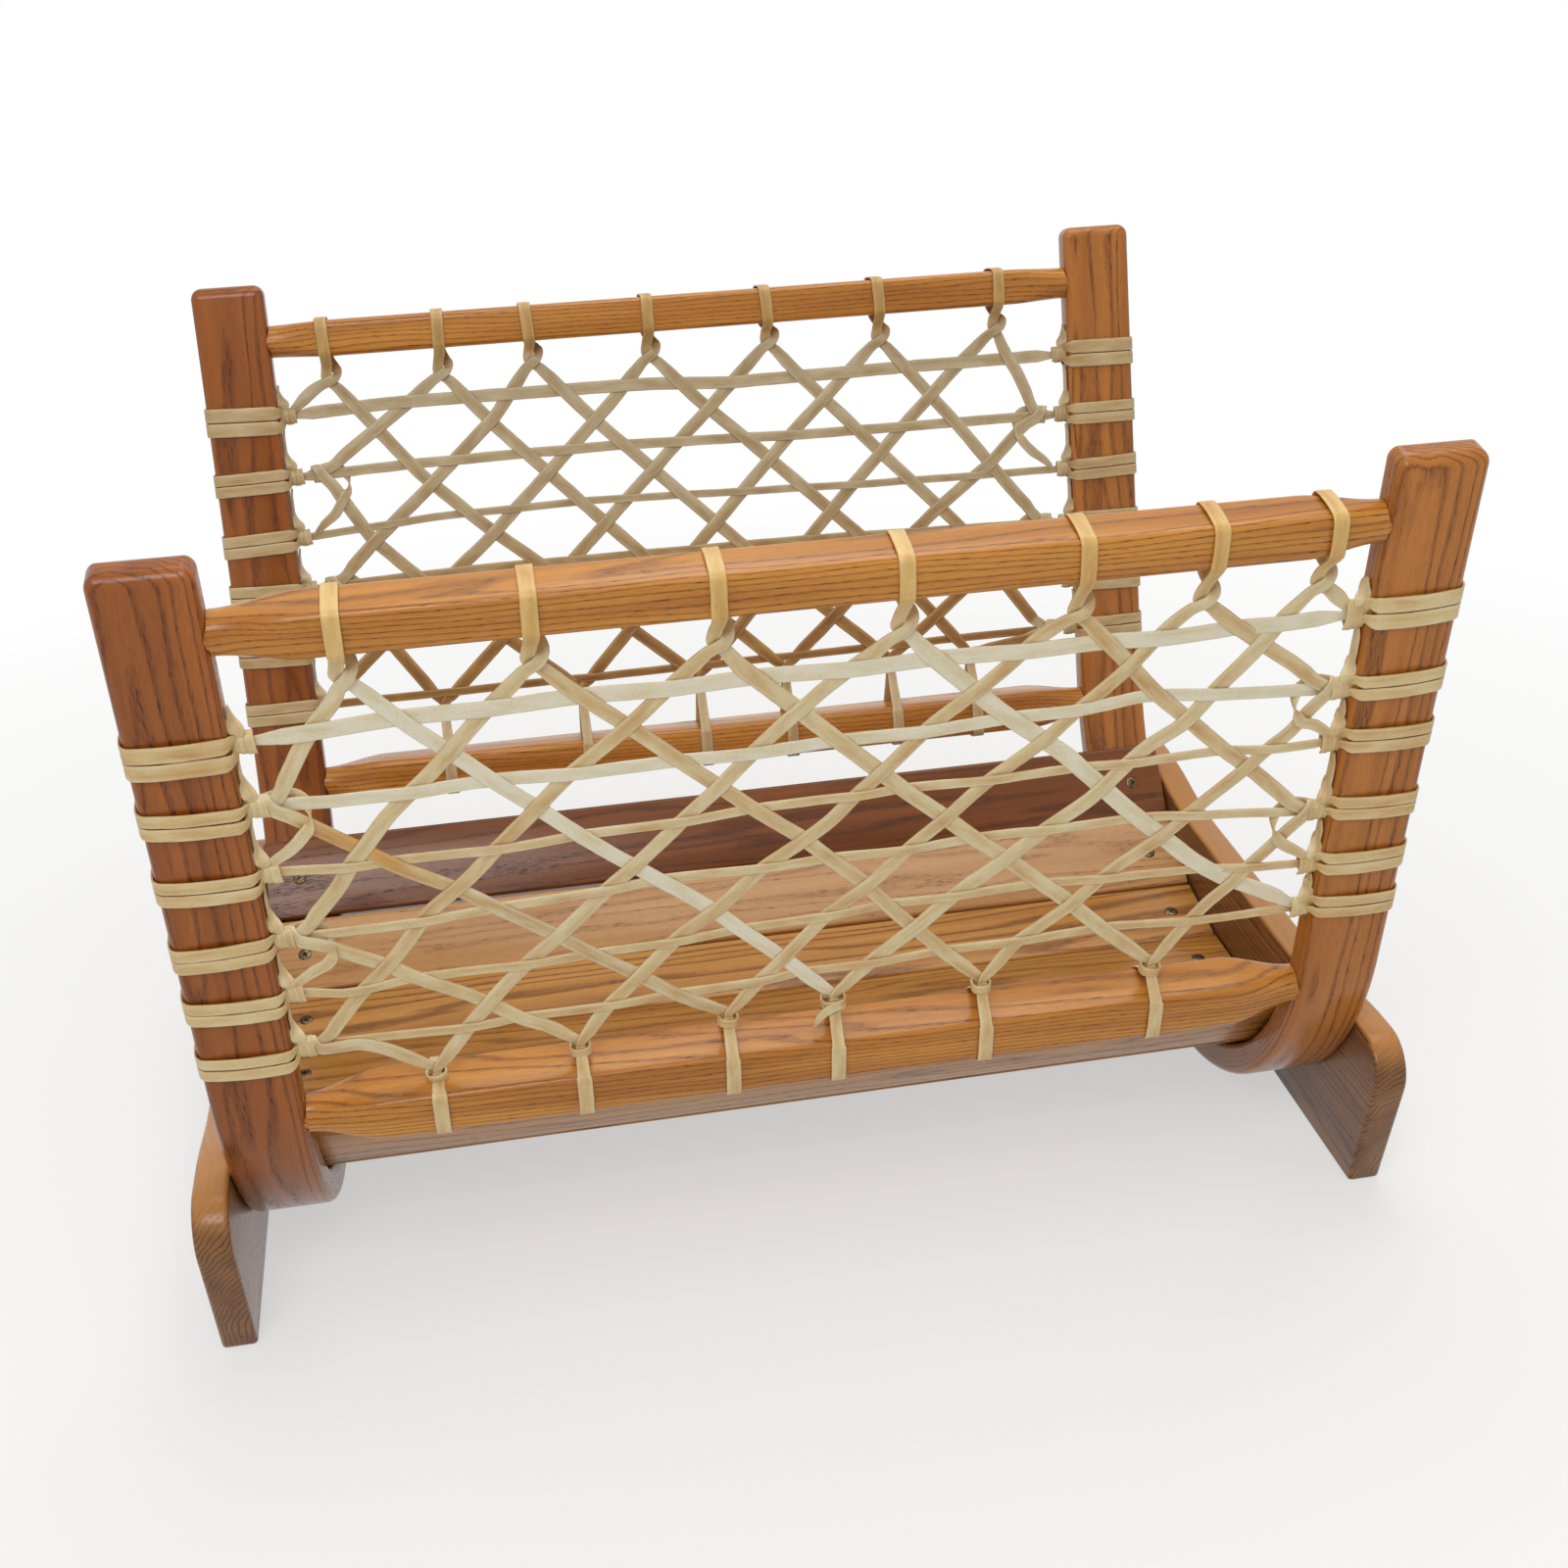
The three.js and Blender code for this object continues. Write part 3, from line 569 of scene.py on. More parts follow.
def slat(index, place):
    outline = rounded_rectangle(SLAT_WIDTH, SLAT_THICKNESS, SLAT_EDGE, 4)
    ends = [(-SLAT_HALF_LENGTH, SLAT_END_EDGE), (-SLAT_HALF_LENGTH + SLAT_END_EDGE, 0),
            (SLAT_HALF_LENGTH - SLAT_END_EDGE, 0), (SLAT_HALF_LENGTH, SLAT_END_EDGE)]
    rings = [[(x, y * (1 - 2 * inset / SLAT_WIDTH), (z - SLAT_THICKNESS / 2) - inset * z / SLAT_THICKNESS * 2)
              for y, z in outline] for x, inset in ends]
    piece = loft(f"slat_{index}", rings, oak_slats[min(index, len(oak_slats)) - 1])
    cut_with(piece, [screw_hole(SLAT_HOLE_LENGTH, Matrix.Translation(Vector((x, 0, 0)) * MM))
                     for x in (-FRAME_MIDDLE, FRAME_MIDDLE)])
    piece.data.transform(place)
    back = place.inverted()
    chance = random.Random(40 + index)
    shift, sideways, rift = chance.uniform(-4000, 4000), chance.uniform(-25, 25), chance.uniform(-0.03, 0.03)

    def grain(x, y, z):
        local = back @ (Vector((x, y, z)) * MM) / MM
        return x + shift, local.y + sideways + x * rift, local.z

    finish_wood(piece, grain, f"floor_slat_{index}")


for side, side_name in SIDES:
    bent_frame(side, side_name)
    end_board(side, side_name)
for end, name in ENDS:
    rail(f"{name}_upper_bar", f"{name}_top_rail", end, TOP_RAIL, RAIL_DISTANCE, 0.05)
    rail(f"{name}_low_bar", f"{name}_lower_rail", end, LOWER_RAIL, 0.0, -0.03)
for index, place in enumerate(slat_places(), 1):
    slat(index, place)


def screw_shape():
    """Wood screw with a low domed head and a cross recess, its rim at the origin, pointing down."""
    head, shank = SCREW_HEAD / 2, SCREW_SHANK / 2
    profile = [(0, 0.55), (head * 0.35, 0.5), (head * 0.7, 0.3), (head * 0.93, 0.05), (head, -0.2),
               (shank, -SCREW_HEAD_DEPTH), (shank, SCREW_POINT - SLAT_SCREW_LENGTH), (0, -SLAT_SCREW_LENGTH)]
    body = turned("screw", profile, SCREW_SIDES)
    tools = []
    for turn in (0, math.pi / 2):
        bm = bmesh.new()
        # The recess narrows from above the head to its floor
        for length, width, z in ((2.7, 0.55, 1.5), (0.9, 0.4, -1.9)):
            for x, y in ((1, 1), (1, -1), (-1, -1), (-1, 1)):
                bm.verts.new(Vector((x * length, y * width, z)) * MM)
        bm.verts.ensure_lookup_table()
        for face in ((0, 1, 2, 3), (7, 6, 5, 4), (0, 4, 5, 1), (1, 5, 6, 2), (2, 6, 7, 3), (3, 7, 4, 0)):
            bm.faces.new([bm.verts[i] for i in face])
        bmesh.ops.rotate(bm, verts=bm.verts, cent=(0, 0, 0), matrix=Matrix.Rotation(turn, 3, "Z"))
        tools.append(to_object("recess", bm, bronze))
    cut_with(body, tools)
    return body


def new_tree(name, inputs):
    """Geometry tree with its inputs' sockets, which takes a guide mesh and gives back geometry."""
    tree = bpy.data.node_groups.new(name, "GeometryNodeTree")
    for label, kind in {"Geometry": "Geometry", **inputs, "Finish": "Material"}.items():
        tree.interface.new_socket(label, in_out="INPUT", socket_type=f"NodeSocket{kind}")
    tree.interface.new_socket("Geometry", in_out="OUTPUT", socket_type="NodeSocketGeometry")
    return tree, add(tree, "NodeGroupInput").outputs


def finish_tree(tree, made, finish):
    """Ends a geometry tree with real geometry in one material."""
    real = add(tree, "GeometryNodeRealizeInstances", {"Geometry": made})
    done = add(tree, "GeometryNodeSetMaterial", {"Geometry": real, "Material": finish})
    add(tree, "NodeGroupOutput", {"Geometry": done})
    return tree


def screw_tree():
    tree, given = new_tree("screws_at_points", {"Screw": "Object"})
    screw = add(tree, "GeometryNodeObjectInfo", {"Object": given["Screw"]}).outputs["Geometry"]
    turn = add(tree, "GeometryNodeInputNamedAttribute", {"Name": "turn"}, data_type="FLOAT_VECTOR")
    points = add(tree, "GeometryNodeInstanceOnPoints",
                 {"Points": given["Geometry"], "Instance": screw, "Rotation": turn})
    return finish_tree(tree, points, given["Finish"])


def run_tree(name, guide, tree, values):
    """Runs a geometry tree on a guide mesh and returns the plain mesh that it makes as an object."""
    holder = bpy.data.objects.new(name, guide)
    bpy.context.scene.collection.objects.link(holder)
    modifier = holder.modifiers.new("make", "NODES")
    modifier.node_group = tree
    for item in tree.interface.items_tree:
        if item.item_type == "SOCKET" and item.in_out == "INPUT" and item.name in values:
            modifier[item.identifier] = values[item.name]
    return baked(holder)


def screws(name, matrices, sink, nodes):
    guide = bpy.data.meshes.new(name)
    chance = random.Random(len(nodes))
    sunk = Matrix.Translation((0, 0, -sink * MM))
    spots = [matrix @ sunk @ Matrix.Rotation(chance.uniform(0, 3), 4, "Z") for matrix in matrices]
    guide.from_pydata([spot.translation for spot in spots], [], [])
    turns = np.array([spot.to_euler() for spot in spots], np.float32)
    guide.attributes.new("turn", "FLOAT_VECTOR", "POINT").data.foreach_set("vector", turns.ravel())
    piece = run_tree(name, guide, screws_at_points, {"Screw": one_screw, "Finish": bronze})
    soften(piece, 40)
    into_model(piece, nodes)


one_screw = screw_shape()
screws_at_points = screw_tree()
slat_screw_places = [place @ Matrix.Translation((x * MM, 0, 0))
                     for x in (-FRAME_MIDDLE, FRAME_MIDDLE) for place in slat_places()]
board_screw_places = [board_screw_place(side, degrees) for side, _ in SIDES for degrees in BOARD_SCREW_PLACES]
screws("slat_screws", slat_screw_places, SLAT_SCREW_SINK,
       [f"{side_name}_slat_screw_{k}" for _, side_name in SIDES for k in range(1, 8)])
screws("board_screws", board_screw_places, BOARD_SCREW_SINK,
       [f"{side_name}_board_screw_{k}" for _, side_name in SIDES for k in range(1, 5)])
bpy.data.objects.remove(one_screw)

# Heights of the knots on each post, from the lower rail's axis, and how far their necks hang below them
KNOTS = {
    (-1, -1): (267, 226, 182, 136, 96, 54),
    (-1, 1): (281, 232, 195, 146, 105, 71),
    (1, -1): (277, 232, 187, 148, 103, 59),
    (1, 1): (278, 232, 189, 147, 100, 62),
}
NECK_DROP = {(-1, -1): 1, (-1, 1): 7, (1, -1): -1, (1, 1): 0}

# Each panel of lacing, in its own coordinates (x, up from the lower rail's axis): its loops as x and how far
# the tip is from the rail, its ties, and its strands as start, bends, end, tone and width. A strand ends at a
# top or lower loop (T, B), a tie at the left or right (L, M), or a knot of the left or right post (K, R).
# A falling strand runs down to the right and a rising one down to the left.
FRONT = {
    "tops": ((-242, 19), (-148, 21), (-54, 21), (42, 23), (137, 25), (206, 25), (271, 21)),
    "bottoms": ((-224, 6), (-141, 12), (-54, 20), (9, 24), (99, 21), (205, 17)),
    "reach": 15,
    "ties": {"L": (224, 136, 53), "M": (227, 138)},
    "falling": (
        ("T1", (-212, 265), (-167, 218), (-113, 164), (-79, 135), (-56, 112), (-10, 62), "B4", 0.06, 9.4),
        ("T2", (-134, 282), (-94, 243), (-54, 203), (-10, 162), (22, 128), (54, 87), (71, 68),
         "B5", 0.42, 9.2),
        ("T3", (-44, 283), (-4, 241), (40, 195), (84, 152), (117, 121), (142, 97), (171, 66),
         "B6", 0.36, 10.0),
        ("T4", (55, 280), (94, 239), (115, 220), (139, 199), (172, 162), (218, 115), (244, 94),
         (274, 78), "R6", 0.12, 10.6),
        ("T5", (162, 265), (185, 237), (206, 216), (230, 192), (252, 172), (273, 151), "M2", 0.46, 9.2),
        ("T6", (222, 279), (245, 260), (265, 245), (278, 233), "M1", 0.44, 9.2),
        ("T7", (280, 290), "R1", 0.36, 9.0),
        ("L1", (-250, 193), (-228, 175), (-201, 156), (-174, 134), (-132, 98), (-102, 72), (-82, 55),
         "B3", 0.50, 9.2),
        ("L2", (-250, 111), (-231, 97), (-200, 76), (-173, 53), (-158, 44), "B2", 0.36, 9.4),
        ("L3", (-261, 50), (-250, 43), "B1", 0.28, 9.2),
    ),
    "rising": (
        ("T1", (-246, 288), (-257, 274), (-266, 261), (-278, 239), "L1", 0.30, 9.2),
        ("T2", (-161, 283), (-181, 262), (-208, 231), (-230, 210), (-251, 182), (-261, 165),
         "L2", 0.36, 9.4),
        ("T3", (-80, 272), (-98, 255), (-140, 218), (-163, 193), (-189, 165), (-215, 142), (-237, 112),
         (-261, 85), "L3", 0.44, 9.2),
        ("T4", (31, 284), (2, 262), (-17, 245), (-54, 206), (-86, 173), (-114, 146), (-138, 122),
         (-160, 101), (-182, 78), (-196, 61), "B1", 0.34, 9.4),
        ("T5", (119, 282), (101, 264), (65, 234), (27, 195), (6, 172), (-14, 157), (-34, 142),
         (-56, 120), (-78, 103), (-102, 77), (-127, 49), "B2", 0.42, 9.4),
        ("T6", (195, 285), (174, 261), (159, 245), (127, 214), (91, 184), (49, 143), (30, 124), (6, 104),
         (-18, 78), "B3", 0.40, 9.2),
        ("T7", (260, 284), (246, 265), (218, 229), (204, 212), (186, 200), (153, 165), (134, 150),
         (86, 112), (62, 90), (36, 67), (23, 54), "B4", 0.32, 10.4),
        ("M1", (269, 199), (251, 182), (230, 162), (210, 141), (176, 114), (149, 88), (118, 63),
         "B5", 0.42, 9.4),
        ("M2", (266, 112), (248, 90), (237, 79), (216, 50), "B6", 0.44, 9.2),
    ),
    "level": (
        ("K1", (-258, 269), (-176, 272), (-38, 273), (118, 273), (202, 272), (257, 274), "R1", 0.06, 10.4),
        ("K2", (-257, 223), (-168, 225), (-81, 224), (57, 227), (141, 230), (179, 234), (221, 231),
         (250, 228), "R2", 0.10, 8.4),
        ("K3", (-242, 179), (-156, 180), (-97, 183), (5, 188), (129, 189), (226, 190), (275, 188),
         "R3", 0.38, 6.3),
        ("K4", (-272, 134), (-248, 134), (-174, 138), (-86, 144), (37, 145), (115, 148), (202, 148),
         (247, 143), (278, 139), "R4", 0.36, 6.4),
        ("K5", (-268, 90), (-232, 94), (-134, 95), (-77, 98), (38, 105), (102, 107), (177, 106),
         (253, 102), "R5", 0.42, 6.2),
        ("K6", (-257, 53), (-207, 52), (-150, 54), (-87, 56), (-3, 61), (121, 65), (181, 66), (250, 63),
         "R6", 0.44, 6.3),
    ),
}
REAR = {
    "tops": ((-261, 17), (-180, 18), (-113, 14), (-25, 16), (66, 14), (152, 18), (244, 17)),
    "bottoms": ((-206, 36), (-100, 37), (-8, 37), (60, 37), (145, 36), (210, 34)),
    "reach": 27,
    "ties": {"L": (234, 152), "M": (236, 151, 58)},
    "falling": (
        ("T1", (-238, 272), (-203, 227), (-159, 184), (-119, 150), "B3", 0.46, 9.6),
        ("T2", (-145, 259), (-78, 188), (-39, 148), "B4", 0.40, 9.6),
        ("T3", (-73, 260), (-20, 207), (38, 149), "B5", 0.36, 9.6),
        ("T4", (9, 266), (39, 238), (75, 203), (129, 150), "B6", 0.44, 9.6),
        ("T5", (85, 282), (117, 248), (153, 209), (190, 170), (208, 151), "M3", 0.40, 9.6),
        ("T6", (176, 272), (213, 227), (250, 178), "M2", 0.44, 9.6),
        ("T7", (251, 283), (260, 267), "M1", 0.40, 9.4),
        ("L1", (-245, 183), (-215, 152), "B2", 0.44, 9.6),
        ("L2", "B1", 0.44, 9.4),
    ),
    "rising": (
        ("T1", (-275, 295), "K1", 0.40, 9.0),
        ("T2", (-208, 280), (-254, 249), "L1", 0.40, 9.4),
        ("T3", (-144, 266), (-205, 212), (-245, 179), "L2", 0.46, 9.6),
        ("T4", (-55, 271), (-103, 226), (-164, 170), (-182, 156), "K6", 0.40, 9.6),
        ("T5", (49, 289), (18, 260), (-19, 226), "B1", 0.44, 9.6),
        ("T6", (118, 270), (73, 229), (19, 175), (0, 156), "B2", 0.40, 9.6),
        ("T7", (205, 269), (170, 236), (112, 179), (91, 157), "B3", 0.46, 9.6),
        ("M1", (235, 199), (189, 166), (173, 152), "B4", 0.44, 9.6),
        ("M2", "B5", 0.46, 9.4),
        ("M3", "B6", 0.46, 9.4),
    ),
    "level": (
        ("K1", (-281, 279), (-215, 282), (-32, 281), (33, 277), (176, 278), "R1", 0.34, 9.4),
        ("K2", (-202, 236), (-55, 237), (96, 233), "R2", 0.40, 7.6),
        ("K3", (-198, 195), (-77, 197), (132, 191), "R3", 0.46, 5.9),
        ("K4", (-243, 151), (-169, 153), (90, 152), (248, 148), "R4", 0.42, 6.9),
        ("K5", "R5", 0.46, 6.4), ("K6", "R6", 0.46, 6.4),
    ),
}


# Columns of a table of stations after its place and the way that its face looks
WIDTH, TONE, WARM, STEP = 6, 7, 8, 9
# How much further along the pattern each thong starts, so that no two share a stretch of it
THONG_SHIFT = 1000


def stations(points, faces, width, tone, warm=0.0, step=1.8):
    """Table of a thong's stations: place, way that its face looks, width, tone, warmth and step."""
    count = len(points)
    columns = [np.asarray(points, float), np.broadcast_to(np.asarray(faces, float), (count, 3))]
    columns += [np.broadcast_to(np.asarray(value, float), count)[:, None]
                for value in (width, tone, warm, step)]
    return np.hstack(columns)


def smooth(table):
    """Smooth curve through a table of stations; all but the place blends evenly from one to the next."""
    rows = []
    last = len(table) - 1
    for i in range(last):
        before, here, there, after = (table[j, :3] for j in (max(i - 1, 0), i, i + 1, min(i + 2, last)))
        length = max(np.linalg.norm(there - here), 1e-6)
        back = np.linalg.norm(here - before) or length
        onward = np.linalg.norm(after - there) or length
        leave = length * ((here - before) / back - (there - before) / (back + length)
                          + (there - here) / length)
        reach = length * ((there - here) / length - (after - here) / (length + onward)
                          + (after - there) / onward)
        if i == 0:
            leave = there - here
        if i == last - 1:
            reach = there - here
        count = max(int(math.ceil(length / table[i, STEP])), 1)
        for k in range(count + (i == last - 1)):
            t = k / count
            spot = ((2 * t ** 3 - 3 * t * t + 1) * here + (t ** 3 - 2 * t * t + t) * leave
                    + (3 * t * t - 2 * t ** 3) * there + (t ** 3 - t * t) * reach)
            rows.append(np.concatenate([spot, table[i, 3:] * (1 - t) + table[i + 1, 3:] * t]))
    return np.array(rows)


def from_ends(count, steps):
    """For each of a row of points, 0 at either end and 1 from so many points inwards."""
    places = np.arange(count)
    return np.minimum(np.minimum(places, places[::-1]) / steps, 1)


class Lacing:
    """Thongs of one piece of the lacing, gathered as guide lines for the geometry tree."""

    def __init__(self, seed):
        self.parts = {label: [] for label in ("spine", "side", "face", "run", "half_width", "tone", "warm")}
        self.edges = []
        self.chance = random.Random(seed)
        self.count = 0
        self.size = 0

    def thong(self, matrix, *tables):
        """Adds one unbroken thong through tables of stations in a local frame."""
        table = smooth(np.vstack(tables))
        turn = np.array(matrix.to_3x3())
        points = table[:, :3] @ turn.T + np.array(matrix.translation)
        faces = table[:, 3:6] @ turn.T
        along = np.gradient(points, axis=0)
        along /= np.linalg.norm(along, axis=1)[:, None]
        side = np.cross(along, faces)
        side /= np.linalg.norm(side, axis=1)[:, None]
        lengths = np.linalg.norm(np.diff(points, axis=0), axis=1)
        run = np.concatenate([[0], np.cumsum(lengths)]) + THONG_SHIFT * self.count
        values = (points, side, np.cross(side, along), run, table[:, WIDTH] / 2, table[:, TONE],
                  table[:, WARM])
        for part, value in zip(self.parts.values(), values):
            part.append(value)
        self.edges += [(self.size + i, self.size + i + 1) for i in range(len(points) - 1)]
        self.size += len(points)
        self.count += 1

    def piece(self, name, material, node):
        """Makes the piece that stands for a node."""
        scales = {"spine": MM, "run": MM, "half_width": MM}
        joined = {label: (np.concatenate(part) * scales.get(label, 1)).astype(np.float32)
                  for label, part in self.parts.items()}
        guide = bpy.data.meshes.new(name)
        guide.from_pydata(joined["spine"].tolist(), self.edges, [])
        for label, values in joined.items():
            kind, field = ("FLOAT_VECTOR", "vector") if values.ndim == 2 else ("FLOAT", "value")
            guide.attributes.new(label, kind, "POINT").data.foreach_set(field, values.ravel())
        made = run_tree(name, guide, rawhide_thong,
                        {"Thickness": HIDE * MM, "Edge wander": 0.10, "Wander length": 0.018, "Cup": 0.0002,
                         "Finish": material})
        bm = bmesh.new()
        bm.from_mesh(made.data)
        bmesh.ops.recalc_face_normals(bm, faces=bm.faces)
        bm.to_mesh(made.data)
        bm.free()
        soften(made, 60)
        into_model(made, [node])


def thong_tree():
    """Sweeps the section of a cut strip of hide along guide lines: flat, round-edged, of wandering width."""
    numbers = ("Thickness", "Edge wander", "Wander length", "Cup")
    tree, given = new_tree("rawhide_thong", {label: "Float" for label in numbers})
    line = add(tree, "GeometryNodeMeshToCurve", {"Mesh": given["Geometry"]})
    circle = add(tree, "GeometryNodeCurvePrimitiveCircle", {"Resolution": 12, "Radius": 1.0})
    split = add(tree, SPLIT_XYZ, (add(tree, "GeometryNodeInputPosition"),)).outputs
    squared = []
    for axis, power in (("X", 0.45), ("Y", 0.5)):
        size = add(tree, MATH, (split[axis],), operation="ABSOLUTE")
        size = add(tree, MATH, (size, power), operation="POWER")
        sign = add(tree, MATH, (split[axis],), operation="SIGN")
        squared.append(add(tree, MATH, (size, sign), operation="MULTIPLY"))
    section = add(tree, JOIN_XYZ, squared)
    marked = add(tree, STORE, {"Geometry": circle, "Name": "section", "Value": section},
                 data_type="FLOAT_VECTOR", domain="POINT")
    tube = add(tree, "GeometryNodeCurveToMesh", {"Curve": line, "Profile Curve": marked, "Fill Caps": True})
    read = {label: add(tree, "GeometryNodeInputNamedAttribute", {"Name": label}, data_type=kind)
            for label, kind in (("spine", "FLOAT_VECTOR"), ("side", "FLOAT_VECTOR"), ("face", "FLOAT_VECTOR"),
                                ("section", "FLOAT_VECTOR"), ("run", "FLOAT"), ("half_width", "FLOAT"))}
    part = add(tree, SPLIT_XYZ, (read["section"],)).outputs
    across, through = part["X"], part["Y"]
    # Each edge wanders by itself, so the noise also reads which side of the thong it is on
    rate = add(tree, MATH, (read["run"], given["Wander length"]), operation="DIVIDE")
    which = add(tree, MATH, (across, 9.0), operation="MULTIPLY")
    spot = add(tree, JOIN_XYZ, (rate, which))
    noise = add(tree, NOISE, {"Vector": spot, "Scale": 1.0, "Detail": 2.0})
    noise = add(tree, MATH, (noise, 0.5), operation="SUBTRACT")
    wander = add(tree, MATH, (noise, given["Edge wander"]), operation="MULTIPLY")
    wander = add(tree, MATH, (wander, 2.0, 1.0), operation="MULTIPLY_ADD")
    half = add(tree, MATH, (read["half_width"], across), operation="MULTIPLY")
    half = add(tree, MATH, (half, wander), operation="MULTIPLY")
    thick = add(tree, MATH, (through, given["Thickness"]), operation="MULTIPLY")
    bend = add(tree, MATH, (across, across), operation="MULTIPLY")
    bend = add(tree, MATH, (bend, given["Cup"]), operation="MULTIPLY")
    thick = add(tree, MATH, (thick, 0.5, bend), operation="MULTIPLY_ADD")
    spot = read["spine"]
    for way, size in ((read["side"], half), (read["face"], thick)):
        move = add(tree, VECTOR, {0: way, "Scale": size}, operation="SCALE")
        spot = add(tree, VECTOR, (spot, move), operation="ADD")
    marked = add(tree, "GeometryNodeSetPosition", {"Geometry": tube, "Position": spot})
    for label, kind, value in (("strip", "FLOAT_VECTOR", add(tree, JOIN_XYZ, (read["run"], half))),
                               ("rim", "FLOAT", add(tree, MATH, (across,), operation="ABSOLUTE"))):
        marked = add(tree, STORE, {"Geometry": marked, "Name": label, "Value": value}, data_type=kind,
                     domain="POINT")
    return finish_tree(tree, marked, given["Finish"])


rawhide_thong = thong_tree()


def crossing(first, second):
    """Places where two lines of points (x, v) cross, as positions along each."""
    found = []
    for i in range(len(first) - 1):
        p, r = first[i], first[i + 1] - first[i]
        q = second[:-1]
        s = second[1:] - second[:-1]
        bottom = r[0] * s[:, 1] - r[1] * s[:, 0]
        bottom[np.abs(bottom) < 1e-9] = 1e-9
        t = ((q[:, 0] - p[0]) * s[:, 1] - (q[:, 1] - p[1]) * s[:, 0]) / bottom
        u = ((q[:, 0] - p[0]) * r[1] - (q[:, 1] - p[1]) * r[0]) / bottom
        for j in np.nonzero((t >= 0) & (t < 1) & (u >= 0) & (u < 1))[0]:
            found.append((i + t[j], j + u[j]))
    return found


def even_line(points, step=3.0, roundings=4):
    """Points at even steps along a broken line, its corners rounded a little."""
    points = np.asarray(points, float)
    lengths = np.linalg.norm(np.diff(points, axis=0), axis=1)
    total = np.concatenate([[0], np.cumsum(lengths)])
    count = max(int(total[-1] / step), 4)
    at = np.linspace(0, total[-1], count + 1)
    line = np.stack([np.interp(at, total, points[:, k]) for k in (0, 1)], axis=1)
    for _ in range(roundings):
        line[1:-1] = (line[:-2] + 2 * line[1:-1] + line[2:]) / 4
    return line


# Which kind of strand lies over which
LIES_OVER = {("rising", "falling"), ("falling", "level"), ("level", "rising")}
# Crossings this many points from a strand's end are left to its tie
TIE_POINTS = 4
WEAVE_ROUNDS = 160
WEAVE_GAP = 0.05
# How far a push at a crossing carries along the strand: points away, and share of the push
PUSHES = ((0, 0.5), (1, 0.48), (2, 0.36))


def woven(strands):
    """Heights of the strands towards the viewer, so that they pass over and under each other clear."""
    heights = [np.linspace(strand["from"], strand["to"], len(strand["line"])) for strand in strands]
    meetings = []
    for i, first in enumerate(strands):
        for j, second in enumerate(strands[:i]):
            if first["kind"] == second["kind"]:
                continue
            over = i if (first["kind"], second["kind"]) in LIES_OVER else j
            for a, b in crossing(first["line"], second["line"]):
                if min(a, b, len(first["line"]) - 1 - a, len(second["line"]) - 1 - b) < TIE_POINTS:
                    continue
                at = {i: int(round(a)), j: int(round(b))}
                under = j if over == i else i
                meetings.append((over, at[over], under, at[under]))
    need = HIDE + WEAVE_GAP
    for _ in range(WEAVE_ROUNDS):
        for h in heights:
            h[1:-1] += 0.5 * ((h[:-2] + h[2:]) / 2 - h[1:-1])
        for over, a, under, b in meetings:
            short = need - (heights[over][a] - heights[under][b])
            if short <= 0:
                continue
            for spread, share in PUSHES:
                for offset in {-spread, spread}:
                    if 0 < a + offset < len(heights[over]) - 1:
                        heights[over][a + offset] += short * share
                    if 0 < b + offset < len(heights[under]) - 1:
                        heights[under][b + offset] -= short * share
    return heights


def tangent_turn(point, centre, radius, way):
    """Angle round a corner at which a straight thong from a point meets it; way is the side it comes from."""
    away = (point[0] - centre[0], point[1] - centre[1])
    return math.atan2(away[1], away[0]) + way * math.acos(min(radius / math.hypot(*away), 1))


def corner_points(centre, radius, start, stop, steps=5):
    """Points round a corner, each with the way out, in the (near, up) plane."""
    for k in range(steps + 1):
        angle = start + (stop - start) * k / steps
        way = (math.cos(angle), math.sin(angle))
        yield (centre[0] + radius * way[0], centre[1] + radius * way[1]), way


def rail_corners(size):
    """Centres' distances and radius of the corners that a thong's middle follows round a rail."""
    return size["depth"] / 2 - RAIL_EDGE, size["height"] / 2 - RAIL_EDGE, RAIL_EDGE + HIDE_GAP


def post_matrix(side, end):
    """Post coordinates (away from the middle, out, up from the lower rail's axis) to the holder's."""
    y, z, out_y, out_z = bar_at(end * LEG_START)
    up = Vector((0, -end * out_z, end * out_y))
    foot = Vector((side * FRAME_MIDDLE, y, z)) - up * (LEG_START - LOWER_PLACE)
    turn = Matrix((Vector((side, 0, 0)), Vector((0, out_y, out_z)), up)).transposed().to_4x4()
    return Matrix.Translation(foot) @ turn


# Widths of a strand where it ends: at a loop's tip and at a knot on a post
TIP_WIDTH = 6.8
KNOT_WIDTH = 3.4
# Where a lashed neck has its middle, across from the post's
NECK_ACROSS = -30.5
# Turns round a post: the top ones' width and pitch, the others' range of widths and pitch
TOP_TURNS = (10.0, 10.6)
TURN_WIDTHS = (7.7, 8.2)
TURN_PITCH = 8.6


